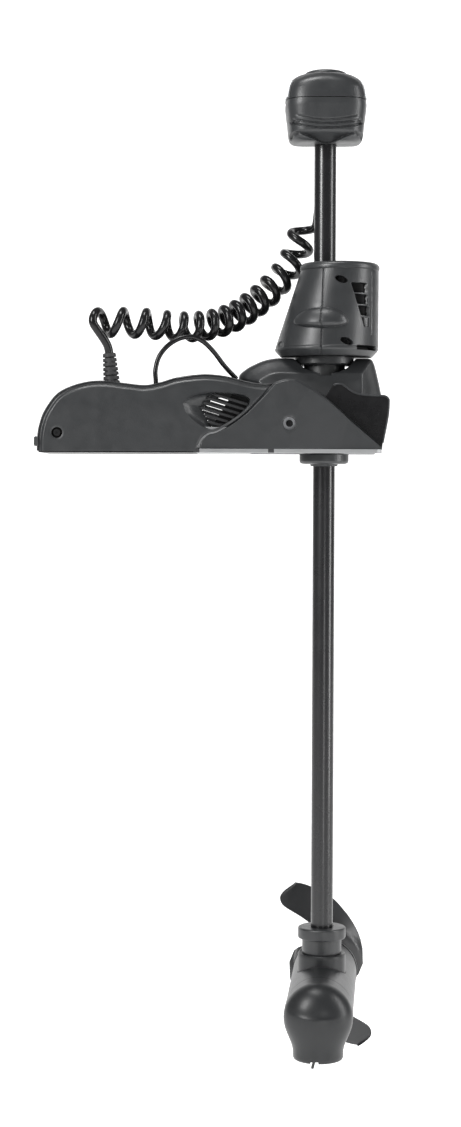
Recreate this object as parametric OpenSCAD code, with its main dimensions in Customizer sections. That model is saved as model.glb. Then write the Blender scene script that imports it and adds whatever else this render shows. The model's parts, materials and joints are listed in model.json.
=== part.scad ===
// Bow-mount electric trolling motor, deployed, with the powered stow mount.
// +X points to the bow, +Y to port, +Z up. The origin is the centre of the deck bolt
// pattern on the underside of the mount base. All sizes are in millimetres.

/* [Mount base] */
// Length of the mount base along the boat
base_len = 458; // [454:1:462]
// Width across the side covers
base_w = 184; // [182:1:190]
// Thickness of the aluminium base plate
plate_t = 5; // [4:0.5:6]
// Wall of the moulded covers
wall = 3; // [2.5:0.1:3.2]
// Radius of the deck bolt holes
bolt_r = 3.5; // [3:0.1:4.5]
// Spacing of the deck bolts along the boat
bolt_dx = 320; // [300:5:340]
// Spacing of the deck bolts across the boat
bolt_dy = 144; // [140:1:148]

/* [Tilt pivot] */
// Distance of the pivot forward of the origin
pivot_x = 106; // [105:0.5:107]
// Height of the pivot above the deck
pivot_z = 70; // [69:0.5:72]
// Radius of the pivot pins
pivot_r = 9; // [8:0.5:10]

/* [Shaft and head] */
// Distance of the shaft axis forward of the origin
shaft_x = 156; // [155.5:0.5:156.5]
// Radius of the composite shaft
shaft_r = 15; // [14.5:0.1:15]
// Radial running clearance of the shaft and the spindle
run_gap = 0.05; // [0.02:0.01:0.08]
// Underside of the control head
head_z = 418; // [400:1:430]
// Largest radius of the control head
head_r = 55; // [52:1:58]

/* [Lower unit] */
// Height of the motor axis
motor_z = -745; // [-800:1:-700]
// Outer radius of the motor tube
motor_r = 45.5; // [44:0.5:48]
// Yaw of the motor away from square to the boat
motor_yaw = 4.3; // [0:0.1:10]
// Radius of the propeller
prop_r = 128; // [110:1:130]

/* [Cords] */
// Diameter of the coiled motor lead
lead_d = 11.5; // [10:0.5:12]
// Outer diameter of its coil
coil_d = 41; // [38:1:42]
// Diameter of the link cable
link_d = 6.5; // [5:0.5:6.5]

/* [Hidden] */
$fn = 64;

steel = [0.62, 0.63, 0.65];
black = [0.16, 0.165, 0.175];
satin = [0.25, 0.26, 0.27];
silver = [0.78, 0.79, 0.8];
copper = [0.72, 0.45, 0.28];
tiny = 0.1;

// Gear tooth form: pressure angle, addendum, dedendum and backlash share
gear_pa = 25;
gear_add = 0.8;
gear_ded = 1.15;
gear_back = 0.06;

// Base layout
half_w = base_w / 2;
rear_x = -base_len / 2;
bow_x = base_len / 2;
skin_y = half_w - wall;
slot_x = 56;
slot_half = 52;
slot_round = 8;
lip_in = 14;
ramp_lip_in = 8;
lip_z = 36;
upstand_y = skin_y - 3.5;
well_x = [-92, 28];
well_half = 76;
well_z = 39;
deck_z = 84;
button_at = [-148, 44];
lens_x = [-160, -120];
relief_at = [-130, -65];
relief_lean = 4.8;
ramp_screw = [106.5, 39];
rear_screw = [-202, 26];
pad_x = [-17, 82];
pad_size = [8, 5];

// Brackets and stow drive
bracket_y = [72, 80];
pinion_angle = 235;
stow_m = 2;
stow_teeth = 40;
stow_pinion_teeth = 10;
stow_dist = stow_m * (stow_teeth + stow_pinion_teeth) / 2;
stow_pin = [pivot_x + stow_dist * cos(pinion_angle), pivot_z + stow_dist * sin(pinion_angle)];
sector_y = [61, 68];

// Tilt arm
arm_foot_z = 74;
arm_top_z = 129;
cheek_y = [38, 44];
pocket_r = 45;
pocket_z = 104;
boss_r = 38;
bushing_out_r = 34;
spindle_r = 28;
gear_seat_r = 20;
steer_m = 2;
steer_teeth = 32;
steer_pinion_teeth = 10;
steer_z = [79, 87];
steer_dist = steer_m * (steer_teeth + steer_pinion_teeth) / 2;

// Trim module
flange_z = [120, 131];
flange_r = 40;
module_z = [131, 141, 248, 258];
module_low = [158.5, 70.5];
module_high = [176.3, 53.2];
module_foot_r = 63;
seam_x = 152;
module_bolts = [[176, 233, -44], [183, 150, -54]];
lift_m = 2;
lift_teeth = 12;
lift_z = 190;
rack_tip_y = 14.4;
lift_y = rack_tip_y - gear_add * lift_m + lift_m * lift_teeth / 2;
rack_z = [-415, 325];

// Lower unit, measured along the motor axis from the shaft axis, aft positive
seam_u = -98;
tail_u = 150;
nose_u = -128;
nose_len = 34;
chin_u = -126;
chin_r = 33.5;
chin_z = motor_z - 56;
can_in = motor_r - 3;
tower_top = -686;
collar_z = [-665.5, -650];

// Cord routes, from the deck to the head
lead_pts = [[-134, -65, 132], [-136, -65, 142], [-140, -65, 152], [-146, -65, 163],
    [-151, -64, 173], [-155, -63, 182]];
coil_pts = [[-150, -59, 174], [-127, -58, 174], [-102, -53, 173.5], [-80, -48, 173],
    [-60, -42, 171], [-38, -34, 170], [-18, -26, 171], [2, -17, 174.5], [21, -7, 181],
    [39, 4, 190], [57, 15, 203], [74.5, 26, 218], [91, 36, 236], [107, 43, 255.5],
    [119, 46, 279], [127, 45, 305], [134, 43, 331]];
tail_pts = [[134, 43, 331], [140, 40, 345], [146, 37, 358], [151, 34, 370], [154.5, 31, 382],
    [156.5, 29, 393], [157, 28, 405], [157, 28, 418]];
link_pts = [[-71, -74, 39], [-71, -74, 60], [-71, -74, 80], [-71.5, -74, 96], [-72, -74, 110],
    [-67, -73, 128], [-55, -71, 143], [-39, -68, 152.5], [-23, -65, 154.5], [-8, -61, 148],
    [5.5, -56, 135], [17.5, -51, 119.5], [26, -47, 110], [31.5, -44.5, 104.5], [36, -42.5, 100]];

// ---- helpers -------------------------------------------------------------

// Catmull-Rom curve through 2D points, n steps a span
function spline(p, n = 4) = concat(
    [for (i = [0 : len(p) - 2], k = [0 : n - 1])
        let (t = k / n, a = p[max(i - 1, 0)], b = p[i], c = p[i + 1],
            d = p[min(i + 2, len(p) - 1)])
        0.5 * (2 * b + (c - a) * t + (2 * a - 5 * b + 4 * c - d) * t * t
            + (3 * b - a - 3 * c + d) * t * t * t)],
    [p[len(p) - 1]]);

// Extrude an XZ outline from y0 to y1
module along_y(y0, y1) {
    translate([0, y1, 0]) rotate([90, 0, 0]) linear_extrude(y1 - y0) children();
}

// Extrude a YZ outline from x0 to x1
module along_x(x0, x1) {
    translate([x0, 0, 0]) rotate([90, 0, 90]) linear_extrude(x1 - x0) children();
}

// A box between two corners
module block(low, high) {
    translate(low) cube(high - low);
}

// Tooth half-angle at a radius, for a spur gear of z teeth and module m
function inv_deg(a) = tan(a) * 180 / PI - a;
function tooth_half(m, z, rho) = 90 / z * (1 - gear_back) + inv_deg(gear_pa)
    - inv_deg(acos(min(1, m * z / 2 * cos(gear_pa) / rho)));
function tooth_radii(m, z) = let (r = m * z / 2, base = r * cos(gear_pa), root = r - gear_ded * m)
    [root, max(base, root) + 0.01, r, r + gear_add * m];

// Outline of a spur gear with a tooth centred on angle 0
module gear_outline(m, z) {
    radii = tooth_radii(m, z);
    last = len(radii) - 1;
    polygon([for (i = [0 : z - 1], side = [-1, 1], k = [0 : last])
        let (rho = radii[side < 0 ? k : last - k],
            a = i * 360 / z + side * tooth_half(m, z, max(rho, radii[1])))
        rho * [cos(a), sin(a)]]);
}

// Sweep a tube of radius r along 3D points
function unit(v) = v / norm(v);
function tangent(p, i) = unit(p[min(i + 1, len(p) - 1)] - p[max(i - 1, 0)]);
function ring(c, t, r, sides) = let (u = unit(cross(t, [0, 1, 0.2])), v = cross(t, u))
    [for (k = [0 : sides - 1]) c + r * (u * cos(k * 360 / sides) + v * sin(k * 360 / sides))];

module tube(p, r, sides) {
    n = len(p);
    pts = [for (i = [0 : n - 1]) each ring(p[i], tangent(p, i), r, sides)];
    walls = [for (i = [0 : n - 2], k = [0 : sides - 1])
        let (a = i * sides + k, b = i * sides + (k + 1) % sides)
        [b, a, a + sides, b + sides]];
    polyhedron(pts, concat([[for (k = [0 : sides - 1]) k]], walls,
        [[for (k = [sides - 1 : -1 : 0]) (n - 1) * sides + k]]));
}

// Place children in the lower unit's frame, whose nose points along -y
module lower_unit() {
    translate([shaft_x, 0, motor_z]) rotate([0, 0, -motor_yaw]) children();
}

// Revolve (radius, u) points about the motor axis
module turned(pts) {
    rotate([-90, 0, 0]) rotate_extrude() polygon(pts);
}

// ---- base ----------------------------------------------------------------

module plate_outline() {
    difference() {
        polygon([[rear_x + 2, -half_w + 8], [rear_x + 10, -half_w + 1], [bow_x - 6, -half_w + 1],
            [bow_x, -half_w + 7], [bow_x, half_w - 7], [bow_x - 6, half_w - 1],
            [rear_x + 10, half_w - 1], [rear_x + 2, half_w - 8]]);
        for (side = [-1, 1]) translate([slot_x + slot_round, side * (slot_half - slot_round)])
            circle(slot_round);
        translate([slot_x + slot_round, -slot_half]) square([bow_x, 2 * slot_half]);
        translate([slot_x, slot_round - slot_half]) square([bow_x, 2 * (slot_half - slot_round)]);
    }
}

module deck_bolts(r, z0, z1) {
    for (x = [-1, 1], y = [-1, 1])
        translate([x * bolt_dx / 2, y * bolt_dy / 2, z0]) cylinder(r = r, h = z1 - z0);
}

module base_plate() color(silver) difference() {
    union() {
        linear_extrude(plate_t) plate_outline();
        for (side = [-1, 1]) {
            block([rear_x + 14, side * upstand_y - 1.5, plate_t - tiny],
                [slot_x + 20, side * upstand_y + 1.5, 34]);
            block([136, side * upstand_y - 1.5, plate_t - tiny],
                [bow_x - 26, side * upstand_y + 1.5, 9]);
        }
    }
    deck_bolts(bolt_r, -1, plate_t + 1);
    pad_blocks(1);
    for (side = [-1, 1])
        translate([rear_screw[0], side * upstand_y, rear_screw[1]]) rotate([90, 0, 0])
            cylinder(r = 1.6, h = 8, center = true);
}

// Rubber pads let into notches along both edges of the plate
module pad_blocks(extra) {
    for (x = pad_x, side = [-1, 1])
        translate([x, side * (half_w - 1 - pad_size[1] / 2 + extra / 2), plate_t / 2])
            cube([pad_size[0], pad_size[1] + extra, plate_t + 2 * extra], center = true);
}

module base_pads() color(black) pad_blocks(0);

side_top = [[-229, 5], [-228.5, 20], [-226, 36], [-219, 55], [-203, 77], [-183, 88], [-160, 94],
    [-137, 95], [-112, 92], [-86, 89.5], [-66, 93], [-42, 100], [-8, 104], [19, 102],
    [37, 98], [56, 93.5], [73, 91.5], [85, 92.5]];
side_joint = [[85, 92.5], [76, 82], [66, 71.5], [55, 60.5], [45, 51], [27, 38], [9, 28.5],
    [-1, 26], [-11, 18], [-16, 5]];
ramp_top = [[85, 92.5], [95, 96.5], [107, 98], [120, 95], [153, 75], [192, 41.5], [229, 10]];
wing_top = [[85, 92.5], [110, 96], [150, 90], [165, 93], [174, 99], [187, 99.5], [200, 92],
    [213, 85], [228, 83.5], [243, 83.5], [250, 78], [247, 50], [241, 12]];

joint_line = spline(side_joint);
joint_back = [for (i = [len(joint_line) - 2 : -1 : 1]) joint_line[i]];

module side_outline() {
    polygon(concat(spline(side_top), joint_line));
}

module ramp_outline() {
    polygon(concat(spline(ramp_top), [[bow_x, plate_t], [-16, plate_t]], joint_back));
}

module wing_outline() {
    polygon(concat(spline(wing_top), [[240, plate_t], [-16, plate_t]], joint_back));
}

// Eye-shaped opening that the louvres sit in
module vent_outline() {
    polygon(concat(
        spline([[-27, 65], [-14, 74], [5, 78], [28, 77], [48, 73], [54, 69]]),
        spline([[54, 69], [42, 57], [24, 45], [6, 38], [-10, 42], [-22, 52], [-27, 65]])));
}

// A cover panel on one side, with an inward lip along its upper edge
module side_panel(side, lip) {
    mirror([0, side > 0 ? 1 : 0, 0]) {
        along_y(-half_w, -skin_y) children();
        difference() {
            along_y(-skin_y - tiny, -half_w + lip) children();
            along_y(-skin_y - 1, -half_w + lip + 1) offset(delta = -wall) children();
            block([rear_x - 20, -half_w, -1], [bow_x + 60, 0, lip_z]);
        }
    }
}

// Screw well through a cover, down to the face at y = foot
module screw_well(at, side, r, foot) {
    translate([at[0], side * half_w, at[1]]) rotate([side * 90, 0, 0])
        cylinder(r = r, h = half_w - foot);
}

module side_cover(side) {
    difference() {
        union() {
            side_panel(side, lip_in) side_outline();
            screw_well(rear_screw, side, 9.5, upstand_y + 1.5);
            mirror([0, side > 0 ? 1 : 0, 0]) block([rear_x - 3.5, -half_w, 8], [rear_x + 2, 6 - half_w, 21]);
        }
        mirror([0, side > 0 ? 1 : 0, 0]) along_y(-half_w - 1, -skin_y + 1) vent_outline();
        translate([0, side * wall, 0]) screw_well(rear_screw, side, 7.3, upstand_y + 1);
        screw_well(rear_screw, side, 1.8, upstand_y - 1);
    }
}

module ramp_cover(side) {
    difference() {
        union() {
            side_panel(side, ramp_lip_in)
                if (side < 0) ramp_outline(); else wing_outline();
            screw_well(ramp_screw, side, 10.5, bracket_y[1]);
        }
        translate([0, side * 3, 0]) screw_well(ramp_screw, side, 8, bracket_y[1]);
        screw_well(ramp_screw, side, 1.8, bracket_y[1] - 1);
    }
}

module starboard_side_cover() color(satin) side_cover(-1);
module port_side_cover() color(satin) side_cover(1);
module starboard_ramp_cover() color(satin) ramp_cover(-1);
module port_ramp_cover() color(satin) ramp_cover(1);

// Louvre blades behind each vent opening, in a rim
module vent_grilles() color(black)
    for (side = [-1, 1]) mirror([0, side > 0 ? 1 : 0, 0]) {
        difference() {
            along_y(-skin_y, -skin_y + 4) offset(delta = wall) vent_outline();
            along_y(-skin_y - 1, -skin_y + 5) offset(delta = -1) vent_outline();
        }
        intersection() {
            along_y(-skin_y, -skin_y + 4) offset(delta = -tiny) vent_outline();
            for (k = [0 : 4]) translate([12, -skin_y - 1, 76 - k * 9]) rotate([0, 17, 0])
                block([-50, 0, -1.6], [50, 6, 1.6]);
        }
    }

module cover_screws() color(steel)
    for (side = [-1, 1]) {
        for (s = [[rear_screw, upstand_y + 1, 1.6], [ramp_screw, bracket_y[1], 1.6]])
            translate([s[0][0], side * (s[1] + 3), s[0][1]]) rotate([side * 90, 0, 0]) {
                translate([0, 0, -1.6]) difference() {
                    cylinder(r = 4.6, h = 1.6);
                    translate([0, 0, -tiny]) cylinder(r = 2.2, h = 1, $fn = 6);
                }
                cylinder(r = s[2], h = 7);
            }
    }

deck_top = [[rear_x + 5, 10], [rear_x + 7, 30], [rear_x + 14, 52], [rear_x + 28, 70],
    [rear_x + 46, 80], [rear_x + 66, deck_z], [-112, deck_z], [-100, deck_z - 3],
    [-95, 74], [-93, 56], [-91, well_z]];

// Moulded lid of the electronics bay, stepping down to the floor of the stow well
module deck_cover() color(satin) difference() {
    along_y(-well_half - 1.5, well_half + 1.5) difference() {
        polygon(concat(deck_top, [[well_x[1], well_z], [well_x[1], plate_t],
            [rear_x + 5, plate_t]]));
        polygon(concat([for (p = deck_top) p + [p[0] < -150 ? wall : -wall, -wall]],
            [[well_x[1] - wall, well_z - wall], [well_x[1] - wall, plate_t - 1],
            [rear_x + 5 + wall, plate_t - 1]]));
    }
    translate([button_at[0], button_at[1], deck_z - wall - 1]) cylinder(r = 10, h = 10);
    block([lens_x[0], -22, deck_z - wall - 2], [lens_x[1], -14, deck_z + 2]);
    translate([relief_at[0], relief_at[1], deck_z - 5]) cylinder(r = 5, h = 10);
    translate([rear_x, 30, 34]) rotate([0, 90, 0]) cylinder(r = 7, h = 14);
    translate([well_x[1] - 10, 71, 22]) rotate([0, 90, 0]) cylinder(r = 13, h = 20);
}

module power_button() color(black) {
    translate([button_at[0], button_at[1], deck_z - 4]) cylinder(r = 9.6, h = 7.5);
    translate([button_at[0], button_at[1], deck_z - 6]) cylinder(r = 11.5, h = 2.8);
}

module indicator_lens() color([0.6, 0.75, 0.85, 0.6])
    block([lens_x[0] + 0.2, -21.8, deck_z - wall], [lens_x[1] - 0.2, -14.2, deck_z + 0.6]);

module control_board() color([0.1, 0.35, 0.2]) difference() {
    union() {
        block([-212, -62, 14], [-104, 62, 16]);
        block([-196, -40, 16], [-176, -14, 34]);
        block([-150, -50, 16], [-120, -20, 28]);
        block([-150, 6, 16], [-128, 34, 24]);
        for (x = [-206, -110], y = [-56, 56]) translate([x, y, plate_t]) cylinder(r = 4, h = 9);
    }
    for (x = [-206, -110], y = [-56, 56]) translate([x, y, plate_t - 1]) cylinder(r = 1.5, h = 12);
}

// Gland for the battery lead in the rear wall
module power_gland() color(black)
    translate([rear_x, 30, 34]) rotate([0, 90, 0]) difference() {
        union() {
            translate([0, 0, -6]) cylinder(r = 10, h = 11, $fn = 6);
            translate([0, 0, 4]) cylinder(r = 7, h = 9);
        }
        translate([0, 0, -7]) cylinder(r = 4.5, h = 30);
    }

// Ribbed, tapered strain relief of the coiled lead
module cord_relief() color(satin) translate([relief_at[0], relief_at[1], deck_z]) {
    difference() {
        rotate([0, -relief_lean, 0]) difference() {
            union() {
                translate([0, 0, -2]) cylinder(r1 = 11.6, r2 = 8.8, h = 50);
                for (k = [0 : 5]) translate([0, 0, 12 + 5.5 * k])
                    cylinder(r = 11.6 - 0.38 * k, h = 3);
            }
            translate([0, 0, 46.5]) cylinder(r = lead_d / 2, h = 4);
        }
        block([-20, -20, -10], [20, 20, 0]);
    }
    translate([0, 0, -wall]) cylinder(r = 4.9, h = wall + 1);
}

module pivot_brackets() color(steel)
    for (side = [-1, 1]) mirror([0, side < 0 ? 1 : 0, 0]) difference() {
        union() {
            along_y(bracket_y[0], bracket_y[1]) difference() {
                union() {
                    translate([pivot_x, pivot_z]) circle(17);
                    polygon([[88, plate_t], [130, plate_t], [pivot_x + 16, pivot_z - 4],
                        [pivot_x - 16, pivot_z - 4]]);
                }
                translate([pivot_x, pivot_z]) circle(pivot_r + 2.5);
                translate(ramp_screw) circle(1.6);
            }
            block([88, slot_half + 4, plate_t], [130, bracket_y[0] + tiny, plate_t + 4]);
        }
    }

module pivot_bushings() color([0.85, 0.83, 0.75])
    for (side = [-1, 1]) mirror([0, side < 0 ? 1 : 0, 0])
        translate([pivot_x, bracket_y[0] - 2, pivot_z]) rotate([-90, 0, 0]) difference() {
            union() {
                cylinder(r = pivot_r + 5, h = 2);
                cylinder(r = pivot_r + 2.5, h = 10);
            }
            translate([0, 0, -1]) cylinder(r = pivot_r + run_gap, h = 12);
        }

// Stow motor lying along the port rail, with its gearbox beside the tilt pinion
module stow_gearmotor() color(black) {
    difference() {
        block([52, 70.5, plate_t], [86, 84, 46]);
        translate([stow_pin[0], 69, stow_pin[1]]) rotate([-90, 0, 0]) cylinder(r = 4 + run_gap, h = 10);
    }
    translate([-34, 71, 22]) rotate([0, 90, 0]) cylinder(r = 12, h = 86);
    translate([-40, 71, 22]) rotate([0, 90, 0]) cylinder(r = 5, h = 6);
}

module stow_pinion() color(steel) {
    translate([stow_pin[0], sector_y[1] + 1, stow_pin[1]]) rotate([90, 0, 0])
        linear_extrude(sector_y[1] - sector_y[0] + 2)
            rotate(pinion_angle + 180 + 180 / stow_pinion_teeth)
                gear_outline(stow_m, stow_pinion_teeth);
    translate([stow_pin[0], sector_y[1] + 1 - tiny, stow_pin[1]]) rotate([-90, 0, 0])
        cylinder(r = 4, h = 9);
}

// ---- tilt arm --------------------------------------------------------------

arm_back = [[50, arm_foot_z], [43, 90], [39, 104], [48, 113.5], [60, 120.5], [75, 126.5],
    [88, 129], [98, 129.3], [110, arm_top_z]];
arm_bow = [[212, arm_top_z], [221, 126], [228, 102], [234, arm_foot_z]];

module arm_side_outline(inset) {
    offset(delta = -inset) polygon(concat(spline(arm_back, 3), spline(arm_bow, 3)));
}

// Cross-section of the arm housing: its sides lean in towards the top
module arm_cross_outline(inset) {
    offset(delta = -inset)
        polygon([[-58, arm_foot_z], [58, arm_foot_z], [48, 98], [36, 128], [30, 133],
            [-30, 133], [-36, 128], [-48, 98]]);
}

module arm_shell() {
    difference() {
        intersection() {
            along_y(-70, 70) arm_side_outline(0);
            along_x(0, 260) arm_cross_outline(0);
        }
        difference() {
            intersection() {
                along_y(-70, 70) arm_side_outline(wall);
                along_x(0, 260) arm_cross_outline(wall);
            }
            translate([shaft_x, 0, pocket_z - wall]) cylinder(r = pocket_r + wall, h = 60);
        }
        block([0, -52, arm_foot_z - 1], [229, 52, arm_foot_z + wall + 1]);
        translate([shaft_x, 0, pocket_z]) cylinder(r = pocket_r, h = 60);
        translate([shaft_x, 0, pocket_z - 20]) cylinder(r = boss_r, h = 60);
        translate([pivot_x, 0, pivot_z]) rotate([90, 0, 0])
            cylinder(r = pivot_r + 8, h = 200, center = true);
    }
}

module arm_cover_starboard() color(satin) intersection() {
    arm_shell();
    block([0, -80, 0], [260, 0, 200]);
}

module arm_cover_port() color(satin) intersection() {
    arm_shell();
    block([0, 0, 0], [260, 80, 200]);
}

module arm_frame() color(steel) difference() {
    union() {
        for (side = [-1, 1]) mirror([0, side < 0 ? 1 : 0, 0])
            along_y(cheek_y[0], cheek_y[1]) union() {
                translate([pivot_x, pivot_z]) circle(16);
                polygon([[94, 58], [112, 34], [188, 34], [196, 60], [196, 96], [100, 96], [92, 78]]);
            }
        block([100, -cheek_y[1], 90], [196, cheek_y[1], 98]);
        block([100, -cheek_y[1], 34], [188, cheek_y[1], 40]);
        translate([shaft_x, 0, 0]) cylinder(r = 27, h = 36);
        translate([shaft_x, 0, 96]) cylinder(r = boss_r, h = 8);
    }
    translate([shaft_x, 0, 92]) cylinder(r = bushing_out_r, h = 20);
    translate([shaft_x, 0, 80]) cylinder(r = spindle_r + 1, h = 20);
    translate([shaft_x, 0, -1]) cylinder(r = 21, h = 60);
    translate([pivot_x, 0, pivot_z]) rotate([90, 0, 0]) cylinder(r = pivot_r, h = 100, center = true);
}

module pivot_pins() color(steel)
    for (side = [-1, 1]) mirror([0, side < 0 ? 1 : 0, 0]) {
        translate([pivot_x, cheek_y[0], pivot_z]) rotate([-90, 0, 0]) cylinder(r = pivot_r, h = 45);
        translate([pivot_x, cheek_y[1], pivot_z]) rotate([-90, 0, 0]) cylinder(r = 14, h = 5);
    }

module tilt_sector() color(steel) along_y(sector_y[0], sector_y[1])
    translate([pivot_x, pivot_z]) difference() {
        union() {
            intersection() {
                rotate(pinion_angle) gear_outline(stow_m, stow_teeth);
                polygon(concat([[0, 0]],
                    [for (a = [pinion_angle - 101 : 23 : pinion_angle + 14]) 60 * [cos(a), sin(a)]]));
            }
            circle(15);
        }
        circle(pivot_r);
    }

module steering_motor() color(black) translate([shaft_x - steer_dist, 0, 0]) difference() {
    union() {
        translate([0, 0, 40]) cylinder(r = 13.4, h = 36);
        translate([0, 0, 76]) cylinder(r = 8, h = 1.5);
    }
    translate([0, 0, 70]) cylinder(r = 3 + run_gap, h = 10);
}

module steering_pinion() color(steel) translate([shaft_x - steer_dist, 0, 0]) {
    translate([0, 0, 72]) cylinder(r = 3, h = 8);
    translate([0, 0, steer_z[0] - 0.5]) linear_extrude(steer_z[1] - steer_z[0] + 1)
        rotate(180 / steer_pinion_teeth) gear_outline(steer_m, steer_pinion_teeth);
}

module steering_bushing() color([0.85, 0.83, 0.75]) translate([shaft_x, 0, 92]) difference() {
    cylinder(r = bushing_out_r, h = 12);
    translate([0, 0, -1]) cylinder(r = spindle_r + run_gap, h = 14);
}

// Guide bushing of the shaft under the base, with a thin wiper ring
module lower_bushing() color(black) translate([shaft_x, 0, 0]) rotate_extrude()
    polygon([[shaft_r + run_gap, -17], [19, -17], [19, -14.2], [28, -14.2], [32, -13], [33.5, -10.5],
        [33.5, 0], [21, 0], [21, 24], [shaft_r + run_gap, 24]]);

// ---- trim module -----------------------------------------------------------

module steering_spindle() color(satin) translate([shaft_x, 0, 0]) rotate_extrude()
    polygon([[shaft_r + run_gap, 30], [gear_seat_r, 30], [gear_seat_r, 88], [spindle_r, 90],
        [spindle_r, flange_z[0]], [flange_r - 2, flange_z[0]], [flange_r, flange_z[0] + 2],
        [flange_r, flange_z[1]], [shaft_r + run_gap, flange_z[1]]]);

module steering_gear() color(steel) translate([shaft_x, 0, steer_z[0]])
    linear_extrude(steer_z[1] - steer_z[0]) difference() {
        rotate(180) gear_outline(steer_m, steer_teeth);
        circle(gear_seat_r);
    }

// Oblique tapered body of the module, inset by d
module module_body(d) {
    hull() {
        translate([module_low[0], 0, module_z[1]]) cylinder(r = module_low[1] - d, h = tiny);
        translate([module_high[0], 0, module_z[2] - tiny]) cylinder(r = module_high[1] - d, h = tiny);
    }
    translate([module_low[0], 0, module_z[0]])
        cylinder(r1 = module_foot_r - d, r2 = module_low[1] - d, h = module_z[1] - module_z[0]);
}

module module_shell() {
    difference() {
        module_body(0);
        difference() {
            module_body(wall);
            block([60, -80, 120], [250, 80, module_z[0] + wall]);
            for (s = module_bolts) translate([s[0], -80, s[1]]) rotate([-90, 0, 0])
                cylinder(r = 8, h = 92 + s[2]);
        }
        block([60, -80, module_z[2] - 0.2], [250, 80, 300]);
        translate([shaft_x, 0, 120]) cylinder(r = shaft_r + 1, h = 200);
        for (s = module_bolts) translate([s[0], -80, s[1]]) rotate([-90, 0, 0]) {
            cylinder(r = 6, h = 80 + s[2]);
            cylinder(r = 2, h = 90 + s[2]);
        }
    }
}

module module_shell_aft() color(satin) intersection() {
    module_shell();
    block([60, -90, 100], [seam_x, 90, 300]);
}

// The bow half has a stepped vent and a cable slot low down
module module_shell_fore() color(satin) difference() {
    intersection() {
        module_shell();
        block([seam_x, -90, 100], [250, 90, 300]);
    }
    for (k = [0 : 2]) block([193 + 6 * k, -60, 222 - 16 * k - 12], [215, -20, 222 - 16 * k]);
    block([201, -60, 143], [226, -20, 149]);
}

module module_cap() color(satin) difference() {
    translate([module_high[0], 0, module_z[2]]) rotate_extrude()
        polygon([[0, 0], [53.6, 0], [54, 2], [53.4, 5], [51, 8], [47, 9.6], [40, 10], [0, 10]]);
    translate([shaft_x, 0, module_z[2] - 1]) cylinder(r = shaft_r + run_gap, h = 20);
}

module module_screws() color(steel)
    for (s = module_bolts) translate([s[0], s[2], s[1]]) rotate([-90, 0, 0]) difference() {
        union() {
            translate([0, 0, -3]) cylinder(r = 4.5, h = 3);
            cylinder(r = 2, h = 10);
        }
        translate([0, 0, -4]) cylinder(r = 2, h = 2.6, $fn = 6);
    }

module lift_gearmotor() color(black) difference() {
    union() {
        block([176, 8, 172], [204, 42, 208]);
        translate([190, lift_y, 138]) cylinder(r = 15, h = 35);
    }
    translate([175, lift_y, lift_z]) rotate([0, 90, 0]) cylinder(r = 3 + run_gap, h = 12);
}

module lift_gear() color(steel) {
    translate([0, lift_y, lift_z]) along_x(shaft_x - 3.5, shaft_x + 3.5)
        rotate(180) gear_outline(lift_m, lift_teeth);
    translate([shaft_x + 3.4, lift_y, lift_z]) rotate([0, 90, 0]) cylinder(r = 3, h = 24);
}

// ---- shaft and control head ------------------------------------------------

module shaft_tube() color(black) difference() {
    translate([shaft_x, 0, -698]) cylinder(r = shaft_r, h = 698 + head_z + 24);
    translate([shaft_x, 0, -700]) cylinder(r = 7, h = 1400);
    block([shaft_x - 4, 9.5, rack_z[0]], [shaft_x + 4, 20, rack_z[1]]);
}

// Toothed strip let into the port side of the shaft
module lift_rack() color(steel) {
    pitch = PI * lift_m;
    half = pitch / 4 * (1 - gear_back);
    tip = half - gear_add * lift_m * tan(gear_pa);
    root = half + gear_ded * lift_m * tan(gear_pa);
    root_y = rack_tip_y - (gear_add + gear_ded) * lift_m;
    first = ceil((rack_z[0] - lift_z) / pitch);
    last = floor((rack_z[1] - lift_z) / pitch) - 1;
    along_x(shaft_x - 4, shaft_x + 4) polygon(concat([[9.5, rack_z[1]], [9.5, rack_z[0]],
        [root_y, rack_z[0]]],
        [for (i = [first : last]) let (c = lift_z + (i + 0.5) * pitch)
            each [[root_y, c - root], [rack_tip_y, c - tip], [rack_tip_y, c + tip], [root_y, c + root]]],
        [[root_y, rack_z[1]]]));
}

head_low = [[38, 0], [44, 1.5], [48.5, 5], [50.5, 11], [52.2, 26], [54.5, 44], [head_r, 51],
    [head_r - 0.5, 57.5]];
head_high = [[head_r - 0.6, 57.5], [head_r - 2, 67], [51.2, 76], [49.4, 82], [46.4, 86.6],
    [41.3, 90.8], [35, 93.4], [29, 94]];

module head_lower_shell() color(satin) difference() {
    translate([shaft_x, 0, head_z]) rotate_extrude()
        polygon(concat([[shaft_r, 0]], head_low, [[head_r - 3.5, 57.5], [head_r - 3.5, 50],
            [49, 26], [46.5, 6], [43, wall], [22, wall], [22, 20], [shaft_r, 20]]));
    translate([157, 28, head_z - 1]) cylinder(r = 3, h = 10);
}

module head_upper_shell() color(satin) difference() {
    translate([shaft_x, 0, head_z]) rotate_extrude()
        polygon(concat(head_high, [[29, 91], [36, 90], [42, 85.5], [46, 80], [48, 74],
            [49.8, 66], [head_r - 3.6, 57.5]]));
    for (side = [-1, 1]) translate([shaft_x + side * head_r, 0, head_z + 66])
        cube([14, 42, 13], center = true);
}

module head_windows() color([0.92, 0.93, 0.95]) intersection() {
    translate([shaft_x, 0, head_z]) rotate_extrude()
        polygon([[50.5, 59.5], [head_r - 1.2, 59.5], [head_r - 2.2, 66], [51.6, 72.5], [48.4, 72.5]]);
    for (side = [-1, 1]) translate([shaft_x + side * head_r, 0, head_z + 66])
        cube([13.8, 41.8, 12.8], center = true);
}

module head_cap() color(satin) translate([shaft_x, 0, head_z + 90]) rotate_extrude()
    polygon([[0, 0], [29, 0], [29, 4], [27, 6.5], [20, 9.3], [10, 10.8], [0, 11.2]]);

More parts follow.
